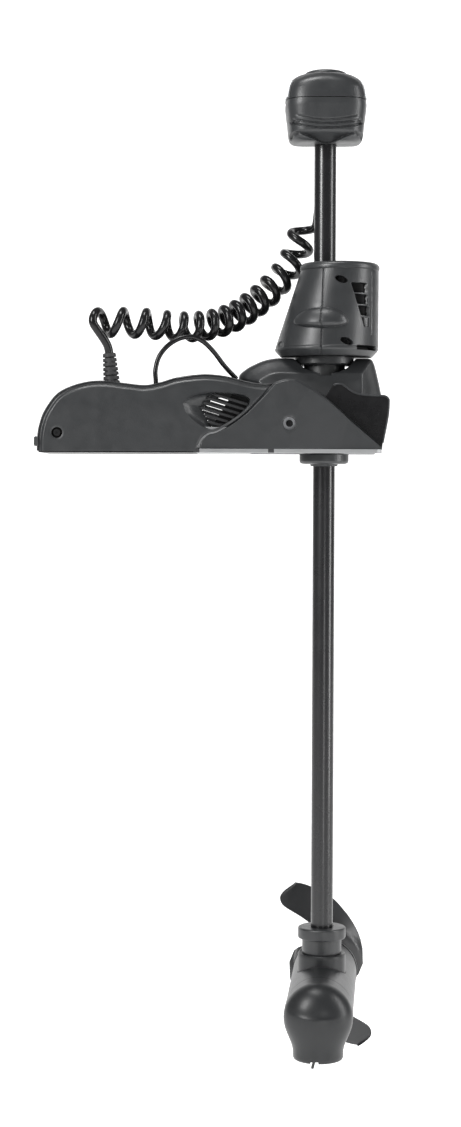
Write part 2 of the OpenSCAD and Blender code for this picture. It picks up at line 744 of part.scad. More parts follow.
module head_board() color([0.1, 0.35, 0.2]) translate([shaft_x, 0, head_z]) difference() {
    union() {
        translate([0, 0, 44]) cylinder(r = 44, h = 2);
        for (k = [0 : 2]) rotate(120 * k + 30) translate([26, -6, 45.5]) cube([12, 12, 6.5]);
        for (k = [0 : 2]) rotate(120 * k + 90) translate([34, 0, wall]) cylinder(r = 3.5, h = 41.5);
    }
    translate([0, 0, 40]) cylinder(r = 10, h = 20);
}

// ---- lower unit ------------------------------------------------------------

module shaft_collar() color(satin) translate([shaft_x, 0, 0]) rotate_extrude()
    polygon([[shaft_r, tower_top], [27, tower_top], [27, collar_z[0]], [31.5, collar_z[0]],
        [32.8, collar_z[0] + 1.5], [32.8, collar_z[1] - 2], [31, collar_z[1]], [shaft_r, collar_z[1]]]);

module motor_housing() color(satin) difference() {
    union() {
        lower_unit() turned([[0, seam_u], [motor_r, seam_u], [motor_r, tail_u], [0, tail_u]]);
        translate([shaft_x, 0, motor_z + 20]) cylinder(r = 32.5, h = tower_top - motor_z - 20);
    }
    lower_unit() turned([[0, seam_u - 1], [can_in, seam_u - 1], [can_in, tail_u + 1], [0, tail_u + 1]]);
    translate([shaft_x, 0, -698]) cylinder(r = shaft_r, h = 40);
    translate([shaft_x, 0, motor_z + 20]) cylinder(r = 7, h = 100);
}

function nose_point(a) = [46 * cos(a), nose_u - nose_len * sin(a)];

module nose_cone() color(satin) difference() {
    union() {
        lower_unit() turned(concat([[0, seam_u + 14], [can_in, seam_u + 14], [can_in, seam_u],
            [46, seam_u]], [for (a = [0 : 10 : 90]) nose_point(a)]));
        lower_unit() intersection() {
            translate([0, chin_u, chin_z - motor_z]) rotate_extrude()
                polygon([[0, 0], [30, 0], [32.5, 1], [chin_r, 3.5], [chin_r, 50], [0, 50]]);
            block([-chin_r, chin_u - chin_r, -60], [chin_r, seam_u, 0]);
        }
    }
    lower_unit() translate([0, chin_u, chin_z - motor_z - 1]) cylinder(r = 28, h = 17);
    lower_unit() translate([0, chin_u, chin_z - motor_z - 1]) cylinder(r = 8, h = 50);
    lower_unit() turned([[0, seam_u + 4], [14, seam_u + 4], [14, seam_u + 15], [0, seam_u + 15]]);
    lower_unit() turned([[0, chin_u], [7, chin_u], [7, seam_u + 5], [0, seam_u + 5]]);
    lower_unit() block([-9, chin_u - 36, chin_z - motor_z - 1], [1.5, chin_u - 20, chin_z - motor_z + 4]);
}

module transducer() color(black) lower_unit() translate([0, chin_u, chin_z - motor_z + 1])
    difference() {
        cylinder(r = 28, h = 15);
        block([-30, -36, -1], [30, -20, 3]);
    }

// Thin temperature-sensor strip hanging out of the slot in the chin
module sensor_strip() color(black) lower_unit()
    translate([-5, chin_u - 26, chin_z - motor_z]) rotate([0, 15, 0])
        translate([-1.9, 0, -7]) cube([3.8, 1.5, 12.5]);

module end_bell() color(satin) lower_unit() difference() {
    turned([[0, tail_u - 8], [can_in, tail_u - 8], [can_in, tail_u], [46.5, tail_u],
        [46.5, tail_u + 6], [44, tail_u + 9], [34, tail_u + 14], [25, tail_u + 17], [0, tail_u + 17]]);
    turned([[0, tail_u - 9], [14, tail_u - 9], [14, tail_u + 2], [0, tail_u + 2]]);
    turned([[0, tail_u], [7, tail_u], [7, tail_u + 18], [0, tail_u + 18]]);
}

module field_magnets() color([0.3, 0.3, 0.32]) lower_unit() intersection() {
    turned([[38, -60], [can_in, -60], [can_in, 60], [38, 60]]);
    for (side = [-1, 1]) block([side > 0 ? 14 : -60, -70, -60], [side > 0 ? 60 : -14, 70, 60]);
}

module brush_plate() color(copper) lower_unit() {
    turned([[22, 96], [can_in, 96], [can_in, 99], [22, 99]]);
    for (side = [-1, 1]) block([side > 0 ? 16.5 : -30, 89, -4], [side > 0 ? 30 : -16.5, 96, 4]);
}

module motor_bearings() color(steel) lower_unit() {
    turned([[6 + run_gap, seam_u + 4], [14, seam_u + 4], [14, seam_u + 13], [6 + run_gap, seam_u + 13]]);
    turned([[6 + run_gap, tail_u - 7], [14, tail_u - 7], [14, tail_u + 2], [6 + run_gap, tail_u + 2]]);
}

module armature() color(copper) lower_unit() difference() {
    union() {
        turned([[6, -55], [36.5, -55], [36.5, 55], [6, 55]]);
        turned([[6, -68], [27, -68], [30, -56], [30, -54], [6, -54]]);
        turned([[6, 54], [30, 54], [27, 70], [16, 78], [16, 104], [6, 104]]);
    }
    for (k = [0 : 11]) rotate([0, 30 * k, 0]) block([30, -60, -1.5], [40, 60, 1.5]);
}

module motor_shaft() color(steel) lower_unit() difference() {
    turned([[0, seam_u + 5], [6, seam_u + 5], [6, 222], [5, 223], [0, 223]]);
    translate([0, 180, 0]) cylinder(r = 2, h = 40, center = true);
}

// Swept weedless blade: a sheet of stations from the hub out, thickened. The tables give
// the angle of each edge at a share of the way from the hub to the tip.
blade_steps = 12;
blade_cols = 10;
lead_edge = [[0, 112], [0.28, 123], [0.43, 128], [0.6, 130], [0.74, 127.5], [0.85, 123],
    [0.94, 119], [1, 113]];
trail_edge = [[0, -50], [0.2, -36], [0.3, -16], [0.33, 6], [0.37, 28], [0.46, 52], [0.58, 71],
    [0.71, 84], [0.85, 98], [0.94, 105.5], [1, 111]];
function blade_radius(s) = 19 + (prop_r - 19) * s;
function blade_angle(s, t) = lookup(s, lead_edge) * (1 - t) + lookup(s, trail_edge) * t;
function blade_u(s, t) = 179 + 28 * t * (1 - 0.6 * s) + 6 * s;
function blade_thick(s, t) = (3.4 - 2 * s) * (0.25 + 0.75 * sin(180 * t));
function blade_point(s, t, face) = let (r = blade_radius(s), a = blade_angle(s, t))
    [r * cos(a), blade_u(s, t) + face * blade_thick(s, t) / 2, r * sin(a)];

module blade() {
    rows = blade_steps + 1;
    cols = blade_cols + 1;
    layer = rows * cols;
    pts = [for (face = [-1, 1], i = [0 : blade_steps], j = [0 : blade_cols])
        blade_point(i / blade_steps, j / blade_cols, face)];
    quads = [for (i = [0 : blade_steps - 1], j = [0 : blade_cols - 1])
        let (a = i * cols + j) [a, a + 1, a + cols + 1, a + cols]];
    rim = concat([for (j = [0 : blade_cols - 1]) j],
        [for (i = [0 : blade_steps - 1]) i * cols + blade_cols],
        [for (j = [blade_cols : -1 : 1]) blade_steps * cols + j],
        [for (i = [blade_steps : -1 : 1]) i * cols]);
    sides = [for (k = [0 : len(rim) - 1]) let (a = rim[k], b = rim[(k + 1) % len(rim)])
        [b, a, a + layer, b + layer]];
    tris = concat([for (q = quads) each [[q[0], q[2], q[1]], [q[0], q[3], q[2]]]],
        [for (q = quads) each [[q[0], q[1], q[2]] + [1, 1, 1] * layer,
            [q[0], q[2], q[3]] + [1, 1, 1] * layer]],
        [for (q = sides) each [[q[0], q[2], q[1]], [q[0], q[3], q[2]]]]);
    polyhedron(pts, tris);
}

module propeller() color(black) lower_unit() difference() {
    union() {
        turned([[0, 172], [20, 172], [23, 176], [23.5, 186], [22, 206], [19, 212], [0, 212]]);
        blade();
        rotate([0, 180, 0]) blade();
    }
    turned([[0, 170], [6, 170], [6, 214], [0, 214]]);
    translate([0, 180, 0]) cylinder(r = 2, h = 32, center = true);
    block([-2, 165, -16], [2, 180, 16]);
}

module drive_pin() color(steel) lower_unit() translate([0, 180, 0])
    cylinder(r = 2, h = 30, center = true);

module prop_nut() color(steel) lower_unit() difference() {
    union() {
        turned([[6, 212], [14, 212], [14, 214], [6, 214]]);
        translate([0, 214, 0]) rotate([-90, 0, 0]) cylinder(r = 11, h = 8, $fn = 6);
        turned([[0, 222], [9, 222], [8, 227], [4, 229], [0, 229]]);
    }
    turned([[0, 211], [6, 211], [6, 223], [0, 223]]);
}

// ---- cords -----------------------------------------------------------------

module motor_lead() color(black) tube(lead_pts, lead_d / 2, 10);
module motor_lead_coil() color(black) tube(coil_pts, coil_d / 2, 12);
module motor_lead_tail() color(black) tube(tail_pts, lead_d / 2, 10);
module link_cable() color(black) tube(link_pts, link_d / 2, 8);

base_plate();
base_pads();
starboard_side_cover();
starboard_ramp_cover();
port_side_cover();
port_ramp_cover();
deck_cover();
vent_grilles();
cover_screws();
power_button();
indicator_lens();
control_board();
power_gland();
cord_relief();
pivot_brackets();
pivot_bushings();
stow_gearmotor();
stow_pinion();
arm_frame();
pivot_pins();
tilt_sector();
arm_cover_starboard();
arm_cover_port();
steering_motor();
steering_pinion();
steering_bushing();
lower_bushing();
steering_spindle();
steering_gear();
module_shell_aft();
module_shell_fore();
module_cap();
module_screws();
lift_gearmotor();
lift_gear();
shaft_tube();
lift_rack();
head_lower_shell();
head_upper_shell();
head_cap();
head_windows();
head_board();
shaft_collar();
motor_housing();
nose_cone();
transducer();
sensor_strip();
end_bell();
field_magnets();
brush_plate();
motor_bearings();
armature();
motor_shaft();
propeller();
drive_pin();
prop_nut();
motor_lead();
motor_lead_coil();
motor_lead_tail();
link_cable();
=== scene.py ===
import json
from math import cos, hypot, pi, radians, sin, sqrt

import bmesh
import bpy
import numpy as np
from mathutils import Matrix, Vector
from numpy.linalg import norm


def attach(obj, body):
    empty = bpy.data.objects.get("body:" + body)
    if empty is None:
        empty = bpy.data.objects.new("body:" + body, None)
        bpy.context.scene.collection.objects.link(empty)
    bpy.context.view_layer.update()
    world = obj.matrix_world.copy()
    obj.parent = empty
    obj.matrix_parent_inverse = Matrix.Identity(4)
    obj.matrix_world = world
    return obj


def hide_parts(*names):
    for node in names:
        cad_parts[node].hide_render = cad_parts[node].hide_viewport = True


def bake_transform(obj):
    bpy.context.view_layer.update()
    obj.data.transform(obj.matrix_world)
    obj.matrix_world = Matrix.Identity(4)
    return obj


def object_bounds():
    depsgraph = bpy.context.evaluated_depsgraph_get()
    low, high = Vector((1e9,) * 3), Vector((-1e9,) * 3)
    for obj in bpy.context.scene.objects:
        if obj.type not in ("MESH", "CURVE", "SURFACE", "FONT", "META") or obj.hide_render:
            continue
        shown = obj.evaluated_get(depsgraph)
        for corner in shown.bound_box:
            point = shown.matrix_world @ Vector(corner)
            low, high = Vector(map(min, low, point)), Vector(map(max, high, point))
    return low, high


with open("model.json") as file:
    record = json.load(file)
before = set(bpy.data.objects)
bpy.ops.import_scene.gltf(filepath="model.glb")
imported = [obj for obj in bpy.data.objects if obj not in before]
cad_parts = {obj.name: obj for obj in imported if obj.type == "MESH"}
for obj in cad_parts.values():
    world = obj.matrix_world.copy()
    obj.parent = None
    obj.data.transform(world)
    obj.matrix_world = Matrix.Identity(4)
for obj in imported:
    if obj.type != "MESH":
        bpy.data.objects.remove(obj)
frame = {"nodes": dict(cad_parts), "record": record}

CAD_BOX = [list(corner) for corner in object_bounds()]
NODES = frame["nodes"]
MM = 0.001

# Sizes shared with the CAD model, in millimetres
SIDES = ((-1, "starboard"), (1, "port"))
HALF_W = 92.0
WALL = 3.0
SKIN_Y = HALF_W - WALL
SHAFT_X = 156.0
HEAD_Z = 418.0
MOTOR_Z = -745.0
MOTOR_YAW = radians(4.3)
MOTOR_R = 45.5
PROP_R = 128.0
LEAD_D = 11.5
COIL_D = 43.0
LINK_D = 6.5
DECK_Z = 84.0


# ---- camera ----------------------------------------------------------------

LENS = 70.27
CAMERA_AT = (0.0287, -3.010, -0.039)
CAMERA_PITCH = 87.88
CAMERA_ROLL = 0.18


def add_camera():
    data = bpy.data.cameras.new("camera")
    data.lens = LENS
    data.clip_start = 0.05
    data.clip_end = 60.0
    camera = bpy.data.objects.new("camera", data)
    bpy.context.scene.collection.objects.link(camera)
    camera.location = CAMERA_AT
    turn = Matrix.Rotation(radians(CAMERA_PITCH), 4, "X")
    roll = Matrix.Rotation(radians(CAMERA_ROLL), 4, "Z")
    camera.rotation_euler = (turn @ roll).to_euler()
    bpy.context.scene.camera = camera


add_camera()


# ---- materials -------------------------------------------------------------

def fill(node, values):
    """Set a shader node's input sockets by name."""
    for socket, value in values.items():
        node.inputs[socket].default_value = value


def material(name, base, rough, grain=900.0, bump=0.12, variation=0.12, metallic=0.0,
             coat=0.0, wear_and_sheen=0.0, spec=0.5, spread=0.06, blotch=9.0, rounded=0.0):
    """A surface with colour variation, grain, edges lightened partly as wear and partly as a painted
    highlight, roughness variation and bump.
    """
    mat = bpy.data.materials.new(name)
    mat.use_nodes = True
    tree = mat.node_tree
    nodes, links = tree.nodes, tree.links
    shader = nodes["Principled BSDF"]
    fill(shader, {"Metallic": metallic, "Coat Weight": coat, "Coat Roughness": 0.08,
                  "Specular IOR Level": spec})
    where = nodes.new("ShaderNodeTexCoord")

    def noise(scale, detail=4.0, rough_share=0.55):
        tex = nodes.new("ShaderNodeTexNoise")
        fill(tex, {"Scale": scale, "Detail": detail, "Roughness": rough_share})
        links.new(where.outputs["Object"], tex.inputs["Vector"])
        return tex

    big = noise(blotch)
    fine = noise(grain, 2.0, 0.5)
    ramp = nodes.new("ShaderNodeMixRGB")
    fill(ramp, {"Color1": [c * (1 - variation) for c in base] + [1],
                "Color2": [min(1, c * (1 + variation)) for c in base] + [1]})
    links.new(big.outputs["Fac"], ramp.inputs["Fac"])
    colour = ramp.outputs["Color"]
    # Pointiness lightens the sharp edges: partly wear, partly a painted highlight for light caught on
    # the edges
    if wear_and_sheen:
        edge = nodes.new("ShaderNodeNewGeometry")
        pick = nodes.new("ShaderNodeMapRange")
        fill(pick, {"From Min": 0.52, "From Max": 0.62, "To Max": wear_and_sheen})
        links.new(edge.outputs["Pointiness"], pick.inputs["Value"])
        worn_and_sheen = nodes.new("ShaderNodeMixRGB")
        fill(worn_and_sheen, {"Color2": [min(1, c * 2.2 + 0.03) for c in base] + [1]})
        links.new(pick.outputs["Result"], worn_and_sheen.inputs["Fac"])
        links.new(colour, worn_and_sheen.inputs["Color1"])
        colour = worn_and_sheen.outputs["Color"]
    links.new(colour, shader.inputs["Base Color"])
    gloss = nodes.new("ShaderNodeMapRange")
    fill(gloss, {"From Min": 0.3, "From Max": 0.7, "To Min": max(0.02, rough - spread),
                 "To Max": min(1.0, rough + spread)})
    streak = noise(blotch * 6)
    links.new(streak.outputs["Fac"], gloss.inputs["Value"])
    links.new(gloss.outputs["Result"], shader.inputs["Roughness"])
    relief = nodes.new("ShaderNodeBump")
    fill(relief, {"Strength": bump, "Distance": 0.0004})
    links.new(fine.outputs["Fac"], relief.inputs["Height"])
    if rounded:
        bevel = nodes.new("ShaderNodeBevel")
        bevel.samples = 4
        fill(bevel, {"Radius": rounded})
        links.new(bevel.outputs["Normal"], relief.inputs["Normal"])
    links.new(relief.outputs["Normal"], shader.inputs["Normal"])
    return mat


CHARCOAL = (0.020, 0.0212, 0.0224)
PLASTIC = material("moulded_plastic", CHARCOAL, 0.37, bump=0.32, wear_and_sheen=0.2)
PLASTIC_CAD = material("moulded_plastic_plain", CHARCOAL, 0.38, bump=0.3, rounded=0.0009)
# darker plastic standing for painted shade on parts set into openings
PLASTIC_SHADED = material("moulded_plastic_shaded", (0.012, 0.0125, 0.0135), 0.5, bump=0.3,
                        rounded=0.0006)
PAINT = material("powder_coat", CHARCOAL, 0.38, grain=600.0, bump=0.25, wear_and_sheen=0.3,
                 rounded=0.0006)
SHAFT_MAT = material("gloss_shaft", (0.006, 0.006, 0.007), 0.27, grain=300.0, bump=0.03,
                     coat=0.08, blotch=4.0, spread=0.03)
CORD = material("cord_jacket", (0.006, 0.006, 0.0065), 0.22, grain=400.0, bump=0.05, spec=0.3,
                spread=0.05)
WING_BLACK = material("guide_wing_black", (0.004, 0.004, 0.0045), 0.3, bump=0.1, spec=0.3)
# near-black painted shade for the screw cups, the vent sheets and the module's deep recesses
PAINTED_SHADE = material("recess_painted_shade", (0.004, 0.004, 0.0042), 0.6, bump=0.2, spec=0.15)
RUBBER = material("rubber", (0.014, 0.014, 0.015), 0.62, grain=700.0, bump=0.3)
ALLOY = material("anodised_alloy", (0.34, 0.345, 0.35), 0.42, grain=500.0, bump=0.1,
                 metallic=0.85, variation=0.06, rounded=0.0005)
STEEL = material("zinc_steel", (0.5, 0.51, 0.53), 0.32, grain=700.0, bump=0.12, metallic=1.0,
                 rounded=0.0003)
PLASTIC_DARK_GLOSS = material("propeller_composite", (0.016, 0.0165, 0.0175), 0.34, grain=500.0,
                              bump=0.15, wear_and_sheen=0.3)
BLACK_STEEL = material("blackened_steel", (0.005, 0.005, 0.0055), 0.5, grain=600.0, bump=0.15,
                       spec=0.2, rounded=0.0003)
BEARING = material("bearing_polymer", (0.72, 0.69, 0.58), 0.45, bump=0.15)
BOARD = material("circuit_board", (0.02, 0.12, 0.05), 0.35, grain=250.0, bump=0.3, variation=0.3)
COPPER = material("winding", (0.55, 0.27, 0.12), 0.35, grain=350.0, bump=0.4, metallic=0.8)
FERRITE = material("ferrite", (0.06, 0.06, 0.065), 0.6, bump=0.4)
WINDOW = material("lit_window", (0.82, 0.84, 0.86), 0.12, grain=300.0, bump=0.04, coat=0.6,
                  variation=0.04)

PAINT_SMOOTH = material("painted_housing", (0.014, 0.0148, 0.0157), 0.36, grain=700.0,
                        bump=0.22, spread=0.02, spec=0.36)

SLOT_LOOK = {
    "moulded": PLASTIC_CAD, "painted": PAINT, "gloss_shaft": SHAFT_MAT, "base_alloy": ALLOY,
    "rubber": RUBBER, "steel": STEEL, "window": WINDOW, "bearing_plastic": BEARING,
    "board": BOARD, "copper": COPPER, "ferrite": FERRITE, "jacket": CORD, "black_steel": BLACK_STEEL,
}


def blacken_aft(mat, x_edge):
    """Black coating on the aft part of the plate, behind x_edge metres."""
    tree = mat.node_tree
    shader = tree.nodes["Principled BSDF"]
    where = tree.nodes.new("ShaderNodeTexCoord")
    split = tree.nodes.new("ShaderNodeSeparateXYZ")
    step = tree.nodes.new("ShaderNodeMath")
    step.operation = "LESS_THAN"
    step.inputs[1].default_value = x_edge
    mix = tree.nodes.new("ShaderNodeMixRGB")
    fill(mix, {"Color2": (0.004, 0.004, 0.004, 1)})
    tree.links.new(where.outputs["Object"], split.inputs[0])
    tree.links.new(split.outputs["X"], step.inputs[0])
    tree.links.new(step.outputs[0], mix.inputs["Fac"])
    tree.links.new(shader.inputs["Base Color"].links[0].from_socket, mix.inputs["Color1"])
    tree.links.new(mix.outputs["Color"], shader.inputs["Base Color"])


blacken_aft(ALLOY, -0.0172)


def paint_nodes():
    for row in frame["record"]["subparts"]:
        node = NODES[row["node"]]
        node.data.materials.clear()
        node.data.materials.append(SLOT_LOOK[row["material_slot"]])
    # these parts take the darker plastic: painted shade
    for name in ("vent_grilles", "arm_cover_port", "transducer"):
        NODES[name].data.materials[0] = PLASTIC_SHADED


paint_nodes()


# ---- mesh helpers ----------------------------------------------------------

def spline(points, steps=8):
    """Catmull-Rom curve through points, steps to a span."""
    p = [np.array(q, float) for q in points]
    out = []
    for i in range(len(p) - 1):
        a, b, c, d = p[max(i - 1, 0)], p[i], p[i + 1], p[min(i + 2, len(p) - 1)]
        for k in range(steps):
            t = k / steps
            out.append(0.5 * (2 * b + (c - a) * t + (2 * a - 5 * b + 4 * c - d) * t * t
                              + (3 * b - a - 3 * c + d) * t ** 3))
    out.append(p[-1])
    return np.array(out)


def resample(line, count):
    """count points evenly along a polyline."""
    line = np.array(line, float)
    run = np.concatenate([[0], np.cumsum(norm(np.diff(line, axis=0), axis=1))])
    at = np.linspace(0, run[-1], count)
    return np.stack([np.interp(at, run, line[:, k]) for k in range(line.shape[1])], 1)


def smooth(low, high, x):
    t = np.clip((np.asarray(x, float) - low) / (high - low), 0, 1)
    return t * t * (3 - 2 * t)


def piece(name, verts, faces, mat, body, slot, nodes=(), shade=True, sharp=38.0):
    mesh = bpy.data.meshes.new(name)
    mesh.from_pydata([tuple(float(c) * MM for c in v) for v in verts], [],
                     [tuple(f) for f in faces])
    tidy = bmesh.new()
    tidy.from_mesh(mesh)
    bmesh.ops.remove_doubles(tidy, verts=tidy.verts, dist=1e-6)
    bmesh.ops.dissolve_degenerate(tidy, edges=tidy.edges, dist=1e-7)
    bmesh.ops.recalc_face_normals(tidy, faces=tidy.faces)
    tidy.to_mesh(mesh)
    tidy.free()
    mesh.update()
    obj = bpy.data.objects.new(name, mesh)
    bpy.context.scene.collection.objects.link(obj)
    mesh.materials.append(mat)
    if shade:
        shade_smooth(mesh, sharp)
    if body:
        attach(obj, body)
    if nodes:
        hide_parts(*nodes)
    return obj


def shade_smooth(mesh, sharp=38.0):
    mesh.polygons.foreach_set("use_smooth", [True] * len(mesh.polygons))
    work = bmesh.new()
    work.from_mesh(mesh)
    limit = radians(sharp)
    for edge in work.edges:
        edge.smooth = not (len(edge.link_faces) == 2
                           and edge.calc_face_angle(0.0) > limit)
    work.to_mesh(mesh)
    work.free()
    mesh.update()


def apply_modifiers(obj):
    bpy.context.view_layer.update()
    graph = bpy.context.evaluated_depsgraph_get()
    mesh = bpy.data.meshes.new_from_object(obj.evaluated_get(graph))
    obj.modifiers.clear()
    obj.data = mesh


def boolean(obj, cutter, kind="DIFFERENCE"):
    step = obj.modifiers.new("bool", "BOOLEAN")
    step.operation = kind
    step.solver = "EXACT"
    step.object = cutter
    apply_modifiers(obj)
    bpy.data.objects.remove(cutter)


def grid_faces(rows, cols, wrap=False):
    faces = []
    for i in range(rows - 1):
        for j in range(cols if wrap else cols - 1):
            k = (j + 1) % cols
            faces.append((i * cols + j, i * cols + k, (i + 1) * cols + k, (i + 1) * cols + j))
    return faces


def loft(rings, closed=True, caps=True):
    """Faces and points joining rings of equal length."""
    rows, cols = len(rings), len(rings[0])
    verts = [v for ring in rings for v in ring]
    faces = grid_faces(rows, cols, closed)
    if caps:
        faces.append(tuple(range(cols - 1, -1, -1)))
        faces.append(tuple((rows - 1) * cols + k for k in range(cols)))
    return verts, faces


def lofted(name, rings, *look, **more):
    """A piece through rings of points, closed by a cap at each end."""
    return piece(name, *loft(rings), *look, **more)


def hoop(name, rings, *look, **more):
    """A piece whose last ring runs back into its first."""
    return piece(name, *loft(rings + [rings[0]], caps=False), *look, **more)


def revolve(name, profile, centre, mat, body, slot, nodes=(), sides=96, axis="Z", sharp=38.0):
    """profile is (radius, height) round a vertical axis, or (radius, u) round the motor axis."""
    turn = angles(sides)
    rings = []
    for r, h in profile:
        if axis == "Z":
            rings.append(level_ring(centre[0], centre[1], centre[2] + h, r, turn))
        else:
            rings.append([lower((r * cos(a), h, r * sin(a))) for a in turn])
    return lofted(name, rings, mat, body, slot, nodes, sharp=sharp)


def rounded(points, radius, steps=4):
    """A profile whose inner corners are rounded."""
    out = [np.array(points[0], float)]
    for i in range(1, len(points) - 1):
        a, b, c = (np.array(points[i + k], float) for k in (-1, 0, 1))
        ra = min(radius, 0.45 * norm(a - b), 0.45 * norm(c - b))
        p, q = b + ra * (a - b) / norm(a - b), b + ra * (c - b) / norm(c - b)
        for k in range(steps + 1):
            t = k / steps
            out.append((1 - t) ** 2 * p + 2 * t * (1 - t) * b + t * t * q)
    out.append(np.array(points[-1], float))
    return [tuple(v) for v in out]


def lower(p):
    """A point of the lower unit's frame (x, u, z) in the row frame; u is aft of the shaft."""
    c, s = cos(MOTOR_YAW), sin(MOTOR_YAW)
    return (SHAFT_X + c * p[0] + s * p[1], -s * p[0] + c * p[1], MOTOR_Z + p[2])


def line_distance(points, line):
    """Distance of each 2D point to a polyline."""
    points = np.asarray(points, float)
    best = np.full(len(points), 1e9)
    for a, b in zip(line[:-1], line[1:]):
        d = b - a
        t = np.clip(((points - a) @ d) / max(d @ d, 1e-9), 0, 1)
        best = np.minimum(best, norm(points - (a + t[:, None] * d), axis=1))
    return best


def slab_faces(n):
    """Faces of a slab between two copies of an outline of n points."""
    faces = [tuple(range(n)), tuple(range(2 * n - 1, n - 1, -1))]
    return faces + [(k, (k + 1) % n, n + (k + 1) % n, n + k) for k in range(n)]


def cutter(name, verts, faces):
    """A solid that a boolean uses up, or that is finished later."""
    return piece(name, verts, faces, PLASTIC, None, None, shade=False)


def prism(name, outline, y0, y1):
    """A cutter: an XZ outline between two depths."""
    verts = [(p[0], y, p[1]) for y in (y0, y1) for p in outline]
    return cutter(name, verts, slab_faces(len(outline)))


def angles(sides):
    return [2 * pi * k / sides for k in range(sides)]


def level_ring(x, y, z, r, turn):
    """A level circle at the angles in turn."""
    return [(x + r * cos(a), y + r * sin(a), z) for a in turn]


def finish_solid(obj, mat, sharp, body, *nodes):
    """Give a cut solid its one material, shading, body and CAD nodes."""
    obj.data.materials.clear()
    obj.data.materials.append(mat)
    shade_smooth(obj.data, sharp)
    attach(obj, body)
    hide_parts(*nodes)


BOX_FACES = [(0, 1, 3, 2), (4, 6, 7, 5), (0, 4, 5, 1), (2, 3, 7, 6), (0, 2, 6, 4), (1, 5, 7, 3)]


def block(low, high):
    return [(x, y, z) for x in (low[0], high[0]) for y in (low[1], high[1])
            for z in (low[2], high[2])], BOX_FACES


def circle(x, z, r, sides=40):
    return [(x + r * cos(a), z + r * sin(a)) for a in angles(sides)]


# ---- cords -----------------------------------------------------------------

LEAD = [(-134, -65, 132), (-138, -68, 146)]
COIL = [(-150, -59, 174), (-127, -58, 174), (-102, -53, 173.5), (-80, -48, 173),
        (-60, -42, 171), (-38, -34, 170), (-18, -26, 171), (2, -17, 174.5), (21, -7, 181),
        (39, 4, 190), (57, 15, 203), (74.5, 26, 218), (91, 36, 236), (107, 43, 255.5),
        (119, 46, 279), (127, 45, 305), (134, 43, 331)]
TAIL = [(151, 34, 370), (154.5, 31, 382), (156.5, 29, 393),
        (157, 28, 405), (157, 28, 418)]
LINK = [(-71, -74, 39), (-71, -74, 60), (-71, -74, 80), (-71.5, -74, 96), (-72, -74, 110),
        (-67, -73, 128), (-55, -71, 143), (-39, -68, 152.5), (-23, -65, 154.5), (-8, -61, 148),
        (5.5, -56, 135), (17.5, -51, 119.5), (26, -47, 110), (31.5, -44.5, 104.5),
        (36, -42.5, 100)]
TURNS = 15
TURN_STEPS = 26
# steps of a turn added before the coil's first point and left off before its last
HELIX_EARLY = 8
HELIX_SHORT = 14
JOIN_NEAR, JOIN_FAR = 6, 14
JOIN_PASSES = 12


def frames(line):
    """A turning-free pair of normals along a line."""
    line = np.array(line, float)
    tang = np.gradient(line, axis=0)
    tang /= norm(tang, axis=1)[:, None]
    side = np.cross(tang[0], (0.2, 1.0, 0.1))
    side /= norm(side)
    sides, ups = [], []
    for t in tang:
        side = side - t * (side @ t)
        side /= norm(side)
        sides.append(side.copy())
        ups.append(np.cross(side, t))
    return np.array(sides), np.array(ups)


def tube(name, line, r, sides):
    side, up = frames(line)
    rings = []
    for p, s, u in zip(np.array(line, float), side, up):
        rings.append([p + r * (cos(a) * s + sin(a) * u) for a in angles(sides)])
    return lofted(name, rings, CORD, None, "jacket")


def coiled_line():
    """The lead's own centreline: plain from the relief, nearly TURNS of helix, plain to the head."""
    axis = resample(spline(COIL, 10), TURNS * TURN_STEPS + 1)
    side, up = frames(axis)
    share = np.arange(-HELIX_EARLY, len(axis) - HELIX_SHORT)[:, None] / (len(axis) - 1)
    steps = np.arange(-HELIX_EARLY, 0)[:, None]
    axis = np.concatenate([axis[0] + steps * (axis[1] - axis[0]), axis[:-HELIX_SHORT]])
    side = np.concatenate([np.repeat(side[:1], HELIX_EARLY, 0), side[:-HELIX_SHORT]])
    up = np.concatenate([np.repeat(up[:1], HELIX_EARLY, 0), up[:-HELIX_SHORT]])
    count = len(axis)
    big_r = (COIL_D - LEAD_D) / 2
    turn = 2 * pi * TURNS * (share - 0.04 * np.sin(2 * pi * share))
    helix = axis + big_r * (np.cos(turn) * side + np.sin(turn) * up)
    lead = resample(spline(LEAD + [tuple(helix[0])], 8), 26)
    tail = resample(spline([tuple(helix[-1])] + TAIL, 8), 40)
    line = np.concatenate([lead[:-1], helix, tail[1:]])
    start = len(lead) - 1
    soften = np.zeros(len(line))
    for join in (start, start + count - 1):
        away = np.abs(np.arange(len(line)) - join)
        soften = np.maximum(soften, 1 - smooth(JOIN_NEAR, JOIN_FAR, away))
    soften[[0, -1]] = 0
    for _ in range(JOIN_PASSES):
        mean = 0.25 * line[:-2] + 0.5 * line[1:-1] + 0.25 * line[2:]
        line[1:-1] += soften[1:-1, None] * (mean - line[1:-1])
    return line, start, axis


def length_of(line):
    return float(norm(np.diff(np.array(line), axis=0), axis=1).sum()) * MM


def metres(line):
    return [tuple(float(c) * MM for c in p) for p in line]


